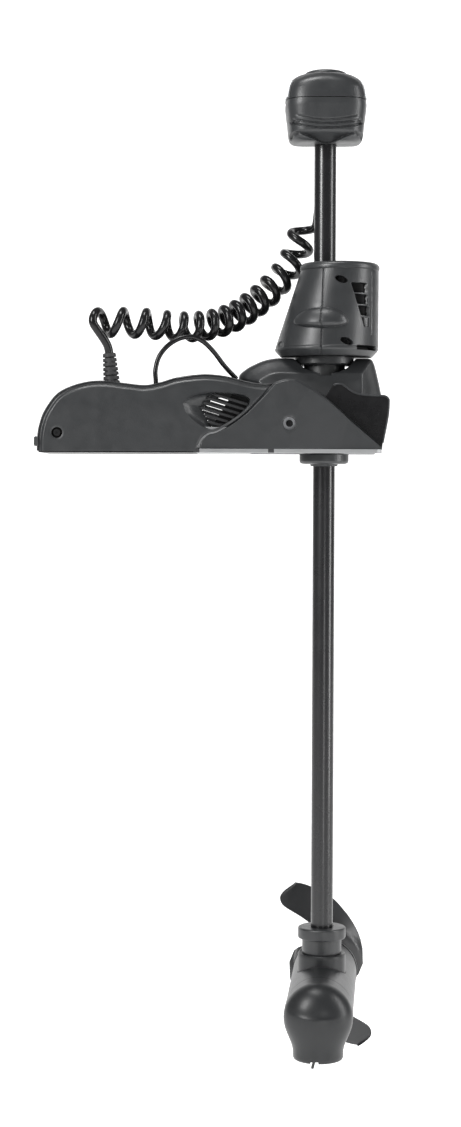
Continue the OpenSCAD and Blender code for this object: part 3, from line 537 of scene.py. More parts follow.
def add_cords():
    line, start, axis = coiled_line()
    count = len(axis)
    cut_a = start + int(count * 0.80)
    cut_b = start + count - 4
    at = [tuple(axis[int(share * (count - 1))] * MM) for share in (0.40, 0.72, 0.87, 0.985)]
    parts = [
        ("motor_lead_deck", line[:cut_a + 1], "base", "tilt_arm", ("motor_lead",), at[0], at[1]),
        ("motor_lead_module", line[cut_a:cut_b + 1], "tilt_arm", "trim_module",
         ("motor_lead_coil",), at[2], at[3]),
        ("motor_lead_head", line[cut_b:], "trim_module", "shaft", ("motor_lead_tail",),
         metres(TAIL[:1])[0], metres(TAIL[-2:-1])[0]),
    ]
    for name, points, low, high, nodes, begin, end in parts:
        obj = tube(name, points, LEAD_D / 2, 16)
        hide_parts(*nodes)
        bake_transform(obj)
        length_of(points)
    route = resample(spline(LINK, 8), 90)
    obj = tube("link_cable_loop", route, LINK_D / 2, 14)
    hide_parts("link_cable")
    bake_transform(obj)
    length_of(route)


add_cords()


# ---- stage and light -------------------------------------------------------

# name, place, aim, size and power, in metres and watts
LIGHTS = [
    ("key", (-2.1, -2.3, 1.3), (0.1, 0, 0.1), (0.7, 1.8), 105.0),
    ("side", (2.5, -0.7, 0.5), (0.15, 0, 0.0), (0.5, 2.8), 52.0),
    ("top", (-0.4, -0.6, 2.6), (0.05, 0, 0.1), (1.2, 0.6), 42.0),
    ("low", (0.6, -2.5, -0.6), (0.15, 0, -0.6), (0.3, 0.8), 5.0),
]
FLOOR_GAP = 0.25
WORLD_LIGHT = 0.20
FLOOR_GLOW = 0.78


def add_stage():
    floor_z = CAD_BOX[0][2] - FLOOR_GAP
    verts, faces = [], []
    run = [(-6.0, 0.0)] + [(6.0 + 2.5 * sin(a), 2.5 - 2.5 * cos(a))
                           for a in (pi / 2 * k / 12 for k in range(13))] + [(8.5, 9.0)]
    for y, z in run:
        for x in (-9.0, 9.0):
            verts.append((x, y, floor_z + z))
    faces = grid_faces(len(run), 2)
    mesh = bpy.data.meshes.new("stage_floor")
    mesh.from_pydata(verts, [], faces)
    mesh.polygons.foreach_set("use_smooth", [True] * len(mesh.polygons))
    floor = bpy.data.objects.new("stage_floor", mesh)
    bpy.context.scene.collection.objects.link(floor)
    mat = bpy.data.materials.new("stage_white")
    mat.use_nodes = True
    shader = mat.node_tree.nodes["Principled BSDF"]
    fill(shader, {"Base Color": (0.93, 0.93, 0.93, 1), "Roughness": 0.9,
                  "Specular IOR Level": 0.0, "Emission Color": (1, 1, 1, 1),
                  "Emission Strength": FLOOR_GLOW})
    mesh.materials.append(mat)


def area_light(name, at, look, size, power):
    data = bpy.data.lights.new(name, "AREA")
    data.shape = "RECTANGLE"
    data.size, data.size_y = size
    data.energy = power
    lamp = bpy.data.objects.new(name, data)
    bpy.context.scene.collection.objects.link(lamp)
    lamp.location = at
    lamp.rotation_euler = (Vector(look) - Vector(at)).to_track_quat("-Z", "Y").to_euler()


def add_light():
    world = bpy.data.worlds.new("studio")
    world.use_nodes = True
    fill(world.node_tree.nodes["Background"], {"Color": (1, 1, 1, 1), "Strength": WORLD_LIGHT})
    bpy.context.scene.world = world
    for row in LIGHTS:
        area_light(*row)
    bpy.context.scene.view_settings.view_transform = "Standard"


add_stage()
add_light()


# ---- side covers -----------------------------------------------------------

SIDE_TOP = [(-229, 2), (-228.5, 20), (-226, 36), (-219, 55), (-203, 77), (-183, 88), (-160, 94),
            (-137, 95), (-112, 92), (-86, 89.5), (-66, 93), (-42, 100), (-8, 104), (19, 102),
            (37, 98), (56, 93.5), (73, 91.5), (85, 92.5)]
JOINT = [(85, 92.5), (76, 82), (66, 71.5), (55, 60.5), (45, 51), (27, 38), (9, 28.5), (-1, 26),
         (-11, 18), (-16, 5)]
RAMP_TOP = [(85, 92.5), (95, 96.5), (107, 98), (120, 95), (153, 75), (192, 41.5), (229, 10)]
WING_TOP = [(85, 92.5), (110, 96), (150, 90), (165, 93), (174, 99), (187, 99.5), (200, 92),
            (213, 85), (228, 83.5), (243, 83.5), (250, 78), (247, 50), (241, 12)]
RAMP_WELL = 8.7
REAR_WELL = 7.3
VENT_UPPER = [(-35, 64.4), (-28, 72), (-14, 77.5), (5, 80), (28, 79), (46, 76), (54, 71)]
VENT_LOWER = [(54, 71), (52.5, 64), (43.2, 53.5), (25.5, 40.4), (8, 31.4), (0, 30.5), (-11, 35.5),
              (-29, 50), (-35, 64.4)]
REAR_SCREW = (-202.0, 26.0)
RAMP_SCREW = (106.5, 39.0)
JOINT_LINE = spline(JOINT, 10)
CREASES = [radians(63), radians(127), radians(270)]
BASE_TOP = 5.0
SIDE_FOOT = 1.5
HEIGHTS = 56


def panel(name, top, base_at, relief, lip, side, nodes, cutters):
    """A moulded cover: a face below a top curve, with a lip turned in along that curve.
    relief(points, distance) says how far the face stands back from the widest plane."""
    count = len(top)
    shares = 1 - (1 - np.linspace(0, 1, HEIGHTS)) ** 1.6
    feet = np.array([base_at(p) for p in top])
    grid = feet[:, None, :] + (top - feet)[:, None, :] * shares[None, :, None]
    flat = grid.reshape(-1, 2)
    depth = relief(flat, line_distance(flat, top)).reshape(count, HEIGHTS)
    tang = np.gradient(top, axis=0)
    tang /= np.maximum(norm(tang, axis=1), 1e-9)[:, None]
    normal = np.stack([-tang[:, 1], tang[:, 0]], 1)
    rings = []
    for i in range(count):
        ring = [(grid[i, j, 0], side * (HALF_W - depth[i, j]), grid[i, j, 1])
                for j in range(HEIGHTS)]
        tip, inner = top[i], top[i] - WALL * normal[i]
        inner[1] = max(inner[1], feet[i, 1])
        for y in (HALF_W - lip * 0.6, HALF_W - lip):
            ring.append((tip[0], side * y, tip[1]))
        for y in (HALF_W - lip, SKIN_Y - 2.5):
            ring.append((inner[0], side * y, inner[1]))
        ring.append((feet[i, 0], side * (SKIN_Y - 2.5), feet[i, 1]))
        rings.append(ring)
    verts, faces = loft(rings)
    obj = cutter(name, verts, faces)
    for tool in cutters:
        boolean(obj, tool)
    finish_solid(obj, PLASTIC, 32, "base", *nodes)


def side_relief(points, distance):
    """A rolled edge, a shallow channel inside it, and a face that crowns gently."""
    lip = 4.2 * (1 - smooth(0.0, 1.8, distance)) ** 1.5
    channel = 3.0 * smooth(0.8, 2.6, distance) * (1 - smooth(4.0, 9.0, distance))
    edge = 2.2 * (1 - smooth(0.0, 2.2, line_distance(points, JOINT_LINE)))
    crown = 4.0 * np.clip((points[:, 1] - 42) / 60, 0, 1) ** 2
    cup = norm(points - np.array(REAR_SCREW), axis=1)
    ring = 0.7 * (1 - smooth(REAR_WELL, REAR_WELL + 1.3, cup))
    return 0.4 + lip + channel + edge + crown + ring


def ramp_relief(points, distance):
    """Three flat fields that meet in creases at the screw."""
    lip = 3.2 * (1 - smooth(0.0, 3.2, distance))
    away = points - np.array(RAMP_SCREW)
    r = norm(away, axis=1)
    a = np.arctan2(away[:, 1], away[:, 0]) % (2 * pi)
    fall = np.zeros(len(points))
    for low, high in ((CREASES[0], CREASES[1]), (CREASES[1], CREASES[2]),
                      (CREASES[2], CREASES[0] + 2 * pi)):
        for turn in (0, 2 * pi):
            inside = (a + turn >= low) & (a + turn <= high)
            share = (np.sin(a + turn - low) + np.sin(high - a - turn)) / sin(high - low)
            fall = np.where(inside, r * share, fall)
    slope = np.clip(fall * 0.011, -3.5, 3.5)
    ring = 0.7 * (1 - smooth(RAMP_WELL, RAMP_WELL + 1.2, r))
    return 0.6 + lip + slope + ring


def side_foot(p):
    line = JOINT_LINE[::-1]
    x = p[0] + 3.0 * (1 - smooth(-229, -200, p[0]))
    if x <= line[0, 0]:
        return (x, SIDE_FOOT)
    return (x, float(np.interp(x, line[:, 0], line[:, 1])))


def foot(p):
    return (min(p[0], 240.0), BASE_TOP)


def add_covers():
    side_top = resample(spline(SIDE_TOP, 10), 260)
    ramp_top = resample(np.concatenate([JOINT_LINE[::-1], spline(RAMP_TOP, 10)[1:]]), 230)
    wing_top = resample(np.concatenate([JOINT_LINE[::-1], spline(WING_TOP, 10)[1:]]), 260)
    vent = np.concatenate([spline(VENT_UPPER, 6)[:-1], spline(VENT_LOWER, 6)[:-1]])
    for side, tag in SIDES:
        depth = side * (SKIN_Y - 22), side * (HALF_W + 4)
        cuts = [prism("cut_vent", vent, *depth),
                prism("cut_screw", circle(*REAR_SCREW, REAR_WELL), *depth)]
        panel(f"side_panel_{tag}", side_top, side_foot, side_relief, 14, side,
              (f"{tag}_side_cover",), cuts)
        well = prism("cut_well", circle(*RAMP_SCREW, RAMP_WELL), *depth)
        panel(f"ramp_panel_{tag}", ramp_top if side < 0 else wing_top, foot, ramp_relief, 8, side,
              (f"{tag}_ramp_cover",), [well])
        # the walls of each screw cup take the near-black painted shade
        for (x, z), r, inner in ((REAR_SCREW, REAR_WELL, 87.2), (RAMP_SCREW, RAMP_WELL, 80.2)):
            rings = [[(px, side * y, pz) for px, pz in circle(x, z, q)]
                     for q, y in ((r + 0.7, HALF_W - 2.4), (r + 0.3, HALF_W - 1.9),
                                  (r - 0.1, HALF_W - 2.1), (r - 0.1, inner), (r + 0.7, inner),
                                  (r + 0.7, HALF_W - 2.4))]
            hoop(f"screw_cup_{tag}_{int(r * 10)}", rings, PAINTED_SHADE, "base", "moulded")


add_covers()


# ---- vents -----------------------------------------------------------------

def add_vents():
    """A dish at the aft end of each eye-shaped opening, and slanting louvres over the rest."""
    upper, under = spline(VENT_UPPER, 8), spline(VENT_LOWER, 8)
    outline = resample(np.concatenate([upper[:-1], under]), 141)[:-1]
    core = np.array((22.0, 58.0))
    left = smooth(15, -30, outline[:, 0])
    inner = core + (outline - core) * (0.95 - 0.36 * left)[:, None]
    along = np.array((cos(radians(-17)), sin(radians(-17))))
    up = np.array((-along[1], along[0]))
    for side, tag in SIDES:
        rings = []
        for share, y in ((0.0, 91.2), (0.04, 90.3), (0.16, 87.6), (0.34, 84.6), (0.56, 82.2),
                         (0.80, 80.8), (0.96, 80.2), (1.0, 79.4), (1.0, 76.5), (0.02, 76.5),
                         (0.02, 89.0)):
            rings.append([(p[0], side * y, p[1]) for p in outline + (inner - outline) * share])
        hoop(f"vent_dish_{tag}", rings, PLASTIC, "base", "moulded",
              ("vent_grilles",) if side < 0 else (), sharp=60)
        for k in range(7):
            mid = np.array((24.0 - 1.8 * k, 80.0 - 7.2 * k))
            reach = []
            for way in (-1, 1):
                t = 0.0
                while t < 70 and inside(mid + way * along * t, inner):
                    t += 0.5
                reach.append(way * t)
            if reach[1] - reach[0] < 6:
                continue
            rings = []
            for p in (mid + along * reach[0], mid + along * reach[1]):
                rings.append([(p[0] + up[0] * h, side * y, p[1] + up[1] * h) for h, y in
                              ((1.6, 77.0), (2.1, 79.4), (2.0, 82.4), (1.3, 83.4), (-1.4, 83.8),
                               (-2.1, 83.0), (-1.7, 77.0))])
            # the louvres take the darker plastic: painted shade inside the vent
            lofted(f"vent_louvre_{tag}_{k}", rings, PLASTIC_SHADED, "base", "moulded")
        # a near-black sheet behind the vent opening: painted shade seen through the louvres
        shade_sheet = [p for p in inner if p[0] > 28 - 0.62 * (76 - p[1])]
        verts = [(p[0], side * y, p[1]) for y in (76.0, 74.5) for p in shade_sheet]
        piece(f"vent_shade_sheet_{tag}", verts, slab_faces(len(shade_sheet)), PAINTED_SHADE, "base", "moulded",
              shade=False)


def inside(p, poly):
    hit = False
    for a, b in zip(poly, np.roll(poly, -1, axis=0)):
        if (a[1] > p[1]) != (b[1] > p[1]):
            if p[0] < (b[0] - a[0]) * (p[1] - a[1]) / (b[1] - a[1]) + a[0]:
                hit = not hit
    return hit


add_vents()


# ---- tilt arm housing ------------------------------------------------------

ARM_BACK = [(50, 74), (43, 90), (39, 104), (48, 113.5), (60, 120.5), (75, 126.5), (88, 129),
            (98, 129.3), (110, 129)]
ARM_BOW = [(212, 129), (221, 126), (228, 102), (234, 74)]
ARM_CROSS = [(-58, 74), (58, 74), (48, 98), (45, 107), (45, 133), (-45, 133), (-45, 107),
             (-48, 98)]
ARM_SIDE = [(74, 58), (98, 48), (107, 45), (133, 45)]
ARM_EDGE = [(0, 16), (0.8, 19.5), (2.5, 23), (5.5, 27), (7, 28.5), (14, 36), (22, 46), (30, 60)]
ARM_WALL = 3.2
POCKET = (104.0, 45.0, 38.0)
BELOW_ARM = 60
ABOVE_ARM = 170
ARM_VOXEL = 0.0012


def inset_outline(points, amount):
    """A closed outline moved inwards by the same amount everywhere."""
    points = np.array(points, float)
    ahead = np.roll(points, -1, axis=0) - points
    behind = points - np.roll(points, 1, axis=0)
    area = 0.5 * float(np.sum(points[:, 0] * ahead[:, 1] - points[:, 1] * ahead[:, 0]))
    way = 1.0 if area > 0 else -1.0
    out = []
    for p, a, b in zip(points, behind, ahead):
        na, nb = (np.array((-v[1], v[0])) / max(norm(v), 1e-9) * way for v in (a, b))
        mean = na + nb
        out.append(p + amount * mean / max(float(mean @ na), 0.3))
    return np.array(out)


def arm_solid(name, inset):
    """The housing's side outline crossed with its section."""
    obj = prism(name, inset_outline(arm_profile(), inset), -70, 70)
    section = inset_outline(ARM_CROSS, inset)
    verts = [(x, y, z) for x in (0, 260) for y, z in section]
    boolean(obj, cutter("cut_section", verts, slab_faces(len(section))), "INTERSECT")
    return obj


def arm_profile():
    return resample(np.concatenate([spline(ARM_BACK, 6), spline(ARM_BOW, 6)]), 80)


def lean_in(obj):
    """Slope the housing's sides inwards along its edge, outside and inside alike."""
    line = arm_profile()
    count = len(obj.data.vertices)
    flat = np.empty(count * 3)
    obj.data.vertices.foreach_get("co", flat)
    points = flat.reshape(-1, 3) / MM
    depth = line_distance(points[:, [0, 2]], line)
    away, widths = zip(*ARM_EDGE)
    heights, sides = zip(*ARM_SIDE)
    full = np.interp(points[:, 2], heights, sides)
    reach = np.abs(points[:, 1])
    within = (depth > ARM_WALL / 2) & (reach < full - ARM_WALL / 2)
    limit = np.interp(depth, away, widths)
    limit = np.where(within, np.interp(depth - ARM_WALL, away, widths) - ARM_WALL * 0.6, limit)
    points[:, 1] = np.sign(points[:, 1]) * np.minimum(reach, limit)
    obj.data.vertices.foreach_set("co", (points * MM).ravel())
    obj.data.update()


def post(name, r, z0, z1):
    """A round cutter on the shaft's axis."""
    return cutter(name, *loft([level_ring(SHAFT_X, 0, z, r, angles(80)) for z in (z0, z1)]))


def soften_solid(obj, voxel, passes):
    """Round every edge of a solid a little."""
    remesh = obj.modifiers.new("remesh", "REMESH")
    remesh.mode = "VOXEL"
    remesh.voxel_size = voxel
    if passes:
        relax = obj.modifiers.new("relax", "SMOOTH")
        relax.factor = 0.5
        relax.iterations = passes
    apply_modifiers(obj)


def add_arm():
    obj = arm_solid("arm_housing", 0.0)
    floor_z, pocket_r, boss_r = POCKET
    hollow = arm_solid("cut_hollow", ARM_WALL)
    boolean(hollow, post("cut_cup", pocket_r + ARM_WALL, floor_z - ARM_WALL, ABOVE_ARM))
    boolean(obj, hollow)
    boolean(obj, cutter("cut_foot", *block((20, -52, BELOW_ARM), (229, 52, 78))))
    soften_solid(obj, 0.0013, 0)
    lean_in(obj)
    soften_solid(obj, ARM_VOXEL, 2)
    boolean(obj, post("cut_pocket", pocket_r, floor_z, ABOVE_ARM))
    boolean(obj, post("cut_boss", boss_r, BELOW_ARM, ABOVE_ARM))
    soften_solid(obj, ARM_VOXEL, 4)
    finish_solid(obj, PLASTIC, 60, "tilt_arm", "arm_cover_starboard", "arm_cover_port")


add_arm()


# ---- trim module -----------------------------------------------------------

MODULE_FOOT = 131.0
MODULE_TOP = 248.0
LID_X = 176.3
MODULE = [(MODULE_FOOT, 158.5, 61.5), (131.8, 158.5, 62.8), (138.5, 158.5, 69.0),
          (140.5, 158.6, 70.2), (143.0, 158.9, 70.2), (MODULE_TOP, LID_X, 53.2)]
MODULE_SCREWS = [(176.0, 232.8), (183.0, 149.8)]
STEP_TOP = 228.7
STEP_PITCH = 15.2
BORE_R = 16.5
# how far inside the module's skin a face must lie to take painted shade
PAINTED_SHADE_DEPTH = 3.0


def seam_groove(x, z):
    """Depth of the groove where the module's halves meet."""
    seam_x = 148.5 + (z - 139.0) * 0.0345
    return 1.3 * (1 - smooth(0.5, 1.1, np.abs(x - seam_x)))


def module_relief(x, z, front):
    """How far the module's skin moves out (+) or in (-) at a point seen from the side."""
    move = np.zeros_like(x)
    # the bulge across the seam
    dx, dz = (x - 149.0) / 36.0, np.where(z > 176, (z - 176) / 19.0, (z - 176) / 8.5)
    lens = np.clip(1 - (dx ** 2 + dz ** 2), 0, 1)
    move += front * 10.0 * lens ** 0.55 * smooth(0.0, 0.10, lens)
    move -= front * seam_groove(x, z)
    # pockets over the screws
    for cx, cz in MODULE_SCREWS:
        d = np.hypot((x - cx + 0.25 * (z - cz)) / 8.0, (z - cz + 0.2 * (x - cx)) / 4.6)
        move -= front * 9.0 * (1 - smooth(0.85, 1.05, d))
    # stepped vent
    for k in range(4):
        top, low = STEP_TOP - STEP_PITCH * k, STEP_TOP - STEP_PITCH * (k + 1) + 1.8
        left = 188.8 + (STEP_TOP - z) * 0.31
        right = 211.0 + 1.2 * k
        inside_x = smooth(0, 1.0, x - left) * (1 - smooth(-1.5, 0.5, x - right))
        inside_z = smooth(0, 1.0, z - low) * (1 - smooth(-0.8, 0.2, z - top))
        deep = 12.0 * (1 - smooth(left, right, x) * 0.6)
        move -= front * deep * inside_x * inside_z * (1.0 if k < 3 else 0.35)
    # slot low down and the strip beside the vent
    slot = smooth(0, 0.8, x - 197) * smooth(0, 0.8, z - 138.8) * (1 - smooth(-0.8, 0, z - 145.2))
    move -= front * 11.0 * slot * (1 - smooth(-0.5, 0.5, x - 224.0))
    strip = (1 - smooth(0.3, 0.9, np.abs(x - 217.8))) * smooth(158, 160, z)
    move -= front * 0.8 * strip * (1 - smooth(243, 245, z))
    # ledge line above the foot, and the mark aft of it
    move -= 0.7 * (1 - smooth(0.3, 0.8, np.abs(z - 143.5)))
    mark = np.hypot((x - 95.5) / 4.0, (z - 147.0) / 4.5)
    move -= front * 2.0 * (1 - smooth(0.7, 1.0, mark))
    return move


def add_module():
    zs = np.concatenate([np.linspace(MODULE_FOOT, 143, 24), np.linspace(143, MODULE_TOP, 190)[1:]])
    table = np.array(MODULE)
    cx = np.interp(zs, table[:, 0], table[:, 1])
    r = np.interp(zs, table[:, 0], table[:, 2])
    sides = 520
    angle = 2 * pi * np.arange(sides) / sides
    x = cx[:, None] + r[:, None] * np.cos(angle)[None, :]
    y = r[:, None] * np.sin(angle)[None, :]
    z = np.repeat(zs[:, None], sides, 1)
    faced = smooth(0.05, 0.3, -np.sin(angle))[None, :] * np.ones_like(x)
    out = module_relief(x, z, faced)
    out -= module_back(x, z, smooth(0.05, 0.3, np.sin(angle))[None, :] * np.ones_like(x))
    x = x + out * np.cos(angle)[None, :]
    y = y + out * np.sin(angle)[None, :]
    verts = np.stack([x, y, z], -1).reshape(-1, 3)
    faces = grid_faces(len(zs), sides, True)
    rows = len(zs)
    base = len(verts)
    verts = np.concatenate([verts] + [np.array(level_ring(SHAFT_X, 0, height, BORE_R, angle))
                                      for height in (MODULE_TOP, MODULE_FOOT)])
    top_row = (rows - 1) * sides
    for k in range(sides):
        n = (k + 1) % sides
        faces.append((top_row + k, top_row + n, base + n, base + k))
        faces.append((base + k, base + n, base + sides + n, base + sides + k))
        faces.append((base + sides + k, base + sides + n, n, k))
    obj = piece("module_body", verts, faces, PLASTIC, "trim_module", "moulded",
                ("module_shell_aft", "module_shell_fore"), sharp=42)
    # faces on the near side lying deep in the vent, slot and pockets take the near-black painted
    # shade
    obj.data.materials.append(PAINTED_SHADE)
    for face in obj.data.polygons:
        p = face.center / MM
        reach = float(np.interp(p[2], table[:, 0], table[:, 2]))
        off = hypot(p[0] - float(np.interp(p[2], table[:, 0], table[:, 1])), p[1])
        if p[1] < 0 and p[2] < MODULE_TOP - 1 and 20 < off < reach - PAINTED_SHADE_DEPTH:
            face.material_index = 1
    turn = angle[::4]
    rings = [level_ring(SHAFT_X, 0, 248.2, 16.0, turn)]
    for q, h in [(52.6, 248.2), (52.8, 248.9), (53.9, 249.5), (54.2, 251.5), (53.8, 254.2),
                 (52.2, 256.6), (49.5, 258.0), (45.5, 258.5), (44.0, 258.2), (42.0, 258.2),
                 (40.5, 258.7)]:
        rings.append(level_ring(LID_X, 0, h, q, turn))
    rings.append(level_ring(SHAFT_X, 0, 259.2, 17.5, turn))
    rings.append(level_ring(SHAFT_X, 0, 258.6, 16.0, turn))
    hoop("module_lid", rings, PLASTIC, "trim_module", "moulded", ("module_cap",), sharp=42)


def module_back(x, z, back):
    """The port side: the seam only, and two screw pockets."""
    move = back * seam_groove(x, z)
    for cx, cz in MODULE_SCREWS:
        d = np.hypot((x - cx) / 6.0, (z - cz) / 5.0)
        move += back * 4.0 * (1 - smooth(0.85, 1.05, d))
    return move


add_module()


# ---- control head ----------------------------------------------------------

HEAD_LOW = [(16.2, 0.6), (38, 0), (43.5, 1.2), (48.0, 4.5), (50.2, 10), (52.0, 26), (54.2, 44),
            (54.9, 51), (54.4, 57.0)]
HEAD_HIGH = [(54.2, 58.0), (53.0, 67), (51.1, 76), (49.3, 82), (46.3, 86.6), (41.2, 90.8),
             (35.0, 93.3), (29.5, 93.9)]


def head_relief(angle, z):
    """The lower shell's smile-shaped grooves, funnel round the shaft and finger recesses."""
    move = np.zeros_like(z)
    for way in (0, pi):
        a = (angle + pi / 2 + way + pi) % (2 * pi) - pi
        spread = np.abs(a)
        for z0, rise, half, depth, width in ((28.0, 6.5, 0.72, 1.6, 1.5), (23.0, 6.5, 0.84, 2.2, 1.7),
                                              (17.0, 9.0, 0.98, 2.4, 1.8)):
            path = z0 + rise * (spread / half) ** 2
            groove = 1 - smooth(0.3, 1.0, np.abs(z - path) / width)
            move -= depth * groove * (1 - smooth(half - 0.12, half + 0.05, spread))
        ends = np.hypot((spread - 0.80) / 0.16, (z - 25.6) / 1.9)
        move -= 2.6 * (1 - smooth(0.6, 1.0, ends))
        edge = 0.25 + 0.62 * np.clip(z / 15.0, 0, 1)
        funnel = (1 - smooth(edge - 0.05, edge + 0.05, spread)) * (1 - smooth(0.0, 15.0, z))
        move -= 15.0 * funnel
        pit = np.hypot((spread - 0.98) / 0.30, (z - 8.6 + (spread - 0.98) * 9) / 3.8)
        move -= 4.0 * (1 - smooth(0.75, 1.0, pit))
    return move


def head_plan(angle, z):
    """How much further than a circle the head reaches at an angle: a rounded square."""
    power = 3.7 - 1.6 * smooth(72, 93, z)
    c, n = np.abs(np.cos(angle)), np.abs(np.sin(angle))
    return (c ** power + n ** power) ** (-1 / power)


def drawn_in(p):
    """A point of the head moved towards the shaft by the shell's thickness."""
    return SHAFT_X + (p[0] - SHAFT_X) * 0.94, p[1] * 0.94, p[2]


def head_shell(name, profile, relief, node, close_at_top):
    sides = 480
    angle = 2 * pi * np.arange(sides) / sides
    z = np.repeat(profile[:, 1:2], sides, 1)
    a = np.repeat(angle[None, :], len(profile), 0)
    inner = smooth(17, 36, profile[:, 0])[:, None]
    r = profile[:, 0:1] * (1 + (head_plan(a, z) - 1) * inner)
    r = np.maximum(r + relief(a, z) * smooth(30, 44, profile[:, 0])[:, None], 15.6)
    lift = 4.5 * smooth(0, 1, np.sin(a)) * (1 - smooth(0, 26, z))
    verts = np.stack([SHAFT_X + r * np.cos(a), r * np.sin(a), HEAD_Z + z + lift], -1)
    rows = [list(map(tuple, ring)) for ring in verts]
    edge = rows[-1] if close_at_top else rows[0]
    inside_row = [drawn_in(p) for p in edge]
    rows.insert(len(rows) if close_at_top else 0, inside_row)
    verts, faces = loft(rows, caps=False)
    last = (len(rows) - 1) * sides
    for first in [last] if close_at_top else [0, last]:
        faces.append(tuple(first + k for k in range(sides)))
    piece(name, verts, faces, PLASTIC, "shaft", "moulded", (node,), sharp=50)


def add_head():
    low = np.concatenate([np.array(HEAD_LOW[:2]), resample(spline(HEAD_LOW[1:], 8), 110)[1:]])
    high = resample(spline(HEAD_HIGH, 8), 60)
    head_shell("head_bowl", low, head_relief, "head_lower_shell", True)
    head_shell("head_dome", high, lambda a, z: np.zeros_like(z), "head_upper_shell", False)
    revolve("head_lid", [(0.01, 93), (28.6, 93), (28.8, 95.0), (28.2, 96.8), (26.6, 98.2),
                         (22, 99.8), (15, 100.8), (8, 101.2), (0.01, 101.3)],
            (SHAFT_X, 0, HEAD_Z), PLASTIC, "shaft", "moulded", ("head_cap",))
    add_windows()


def add_windows():
    """A pale window at each end of the head, in a black surround."""
    outer = np.array(spline(HEAD_HIGH, 8))
    for at, tag in ((0.0, "bow"), (pi, "aft")):
        for name, half, lift, mat, low, high in (
                ("surround", 0.66, 0.5, PLASTIC_DARK_GLOSS, 59.0, 85.0),
                ("pane", 0.58, 1.5, WINDOW, 61.0, 82.0)):
            rings = []
            for z in np.linspace(low, high, 14):
                ring = []
                for a in np.linspace(-half, half, 30) + at:
                    r = float(np.interp(z, outer[:, 1], outer[:, 0])) * float(head_plan(a, z)) + lift
                    ring.append((SHAFT_X + r * cos(a), r * sin(a), HEAD_Z + z))
                rings.append(ring + [drawn_in(p) for p in ring[::-1]])
            lofted(f"head_{name}_{tag}", rings, mat, "shaft",
                  "window" if name == "pane" else "moulded",
                  ("head_windows",) if (name, tag) == ("pane", "bow") else ())


add_head()


# ---- lower unit ------------------------------------------------------------

SEAM_U = -98.0
CHIN_U = -126.0
CHIN_R = 33.5
CHIN_Z = -56.0
SADDLE_R = 32.8
SADDLE_TOP = 59.0
TUBE_END = 145.5


def nose_field(p):
    """Distance-like field of the nose and its chin; negative inside."""
    x, u, z = p
    if u > -128:
        nose = hypot(x, z) - 46.0
    else:
        nose = sqrt((x / 46) ** 2 + (z / 46) ** 2 + ((u + 128) / 34) ** 2) * 46 - 46
    d = hypot(x, u - CHIN_U) - CHIN_R
    e = CHIN_Z - z
    r = 4.0
    chin = min(max(d + r, e + r), 0) + hypot(max(d + r, 0), max(e + r, 0)) - r
    chin = max(chin, z)
    k = 12.0
    h = max(k - abs(nose - chin), 0) / k
    return min(nose, chin) - h * h * k * 0.25


def add_nose():
    centre = (0.0, -116.0, -12.0)
    rows, cols = 110, 150
    rings = []
    for i in range(rows):
        tilt = pi * (i + 0.5) / rows
        ring = []
        for j in range(cols):
            a = 2 * pi * j / cols
            way = (sin(tilt) * cos(a), -cos(tilt), sin(tilt) * sin(a))
            low, high = 0.0, 110.0
            for _ in range(26):
                mid = (low + high) / 2
                p = [centre[k] + mid * way[k] for k in range(3)]
                if nose_field(p) < 0 and p[1] < SEAM_U:
                    low = mid
                else:
                    high = mid
            ring.append(lower([centre[k] + low * way[k] for k in range(3)]))
        rings.append(ring)
    verts, faces = loft(rings)
    obj = cutter("nose_shell", verts, faces)
    verts, faces = block((-9, CHIN_U - 36, CHIN_Z - 1), (1.5, CHIN_U - 20, CHIN_Z + 4))
    boolean(obj, cutter("cut_notch", [lower(v) for v in verts], faces))
    finish_solid(obj, PAINT_SMOOTH, 40, "shaft", "nose_cone")


def add_lower_unit():
    long_run = [(MOTOR_R, u) for u in np.linspace(SEAM_U + 2, TUBE_END, 40)]
    revolve("motor_tube", [(0.01, SEAM_U + 0.5), (44.6, SEAM_U + 0.5), (45.2, SEAM_U + 1)]
            + long_run + [(45.0, 146.6), (44.4, 147), (44.4, 149), (0.01, 149)],
            None, PAINT_SMOOTH, "shaft", "painted", ("motor_housing",), sides=144, axis="U")
    # saddle that carries the shaft
    rings = []
    sides = 120
    for a in angles(sides):
        across, along = cos(a), sin(a)
        start = SADDLE_TOP - 3.5
        ring = [(27.2, SADDLE_TOP), (31.0, SADDLE_TOP), (32.5, SADDLE_TOP - 1.2),
                (SADDLE_R, start)]
        surface = sqrt(MOTOR_R ** 2 - (SADDLE_R * across) ** 2)
        ring += [(SADDLE_R, start + (surface - 2.0 - start) * t) for t in np.linspace(0, 1, 10)]
        ring += [(24.0, 30.0), (24.0, SADDLE_TOP)]
        rings.append([lower((q * across, q * along, h)) for q, h in ring])
    hoop("saddle", rings, PAINT_SMOOTH, "shaft", "painted")
    gap = []
    for a in angles(sides):
        across, along = cos(a), sin(a)
        ring = []
        for r, dz in ((31.0, 0.8), (33.6, 0.8), (33.6, -1.2), (31.0, -1.2)):
            surface = sqrt(MOTOR_R ** 2 - (r * across) ** 2)
            ring.append(lower((r * across, r * along, surface + dz)))
        gap.append(ring)
    hoop("saddle_gasket", gap, RUBBER, "shaft", "rubber")
    revolve("shaft_clamp", rounded([(15.3, -686), (27, -686), (27, -665.5), (31.8, -665.2),
                                    (32.8, -664.2), (32.8, -651.6), (31.8, -650.2), (30.0, -649.8),
                                    (17.5, -649.8), (16.6, -650.6), (15.3, -650.6), (15.3, -686)],
                                   0.9), (SHAFT_X, 0, 0), PLASTIC, "shaft", "moulded",
            ("shaft_collar",), sides=120)
    add_nose()


# ---- propeller -------------------------------------------------------------

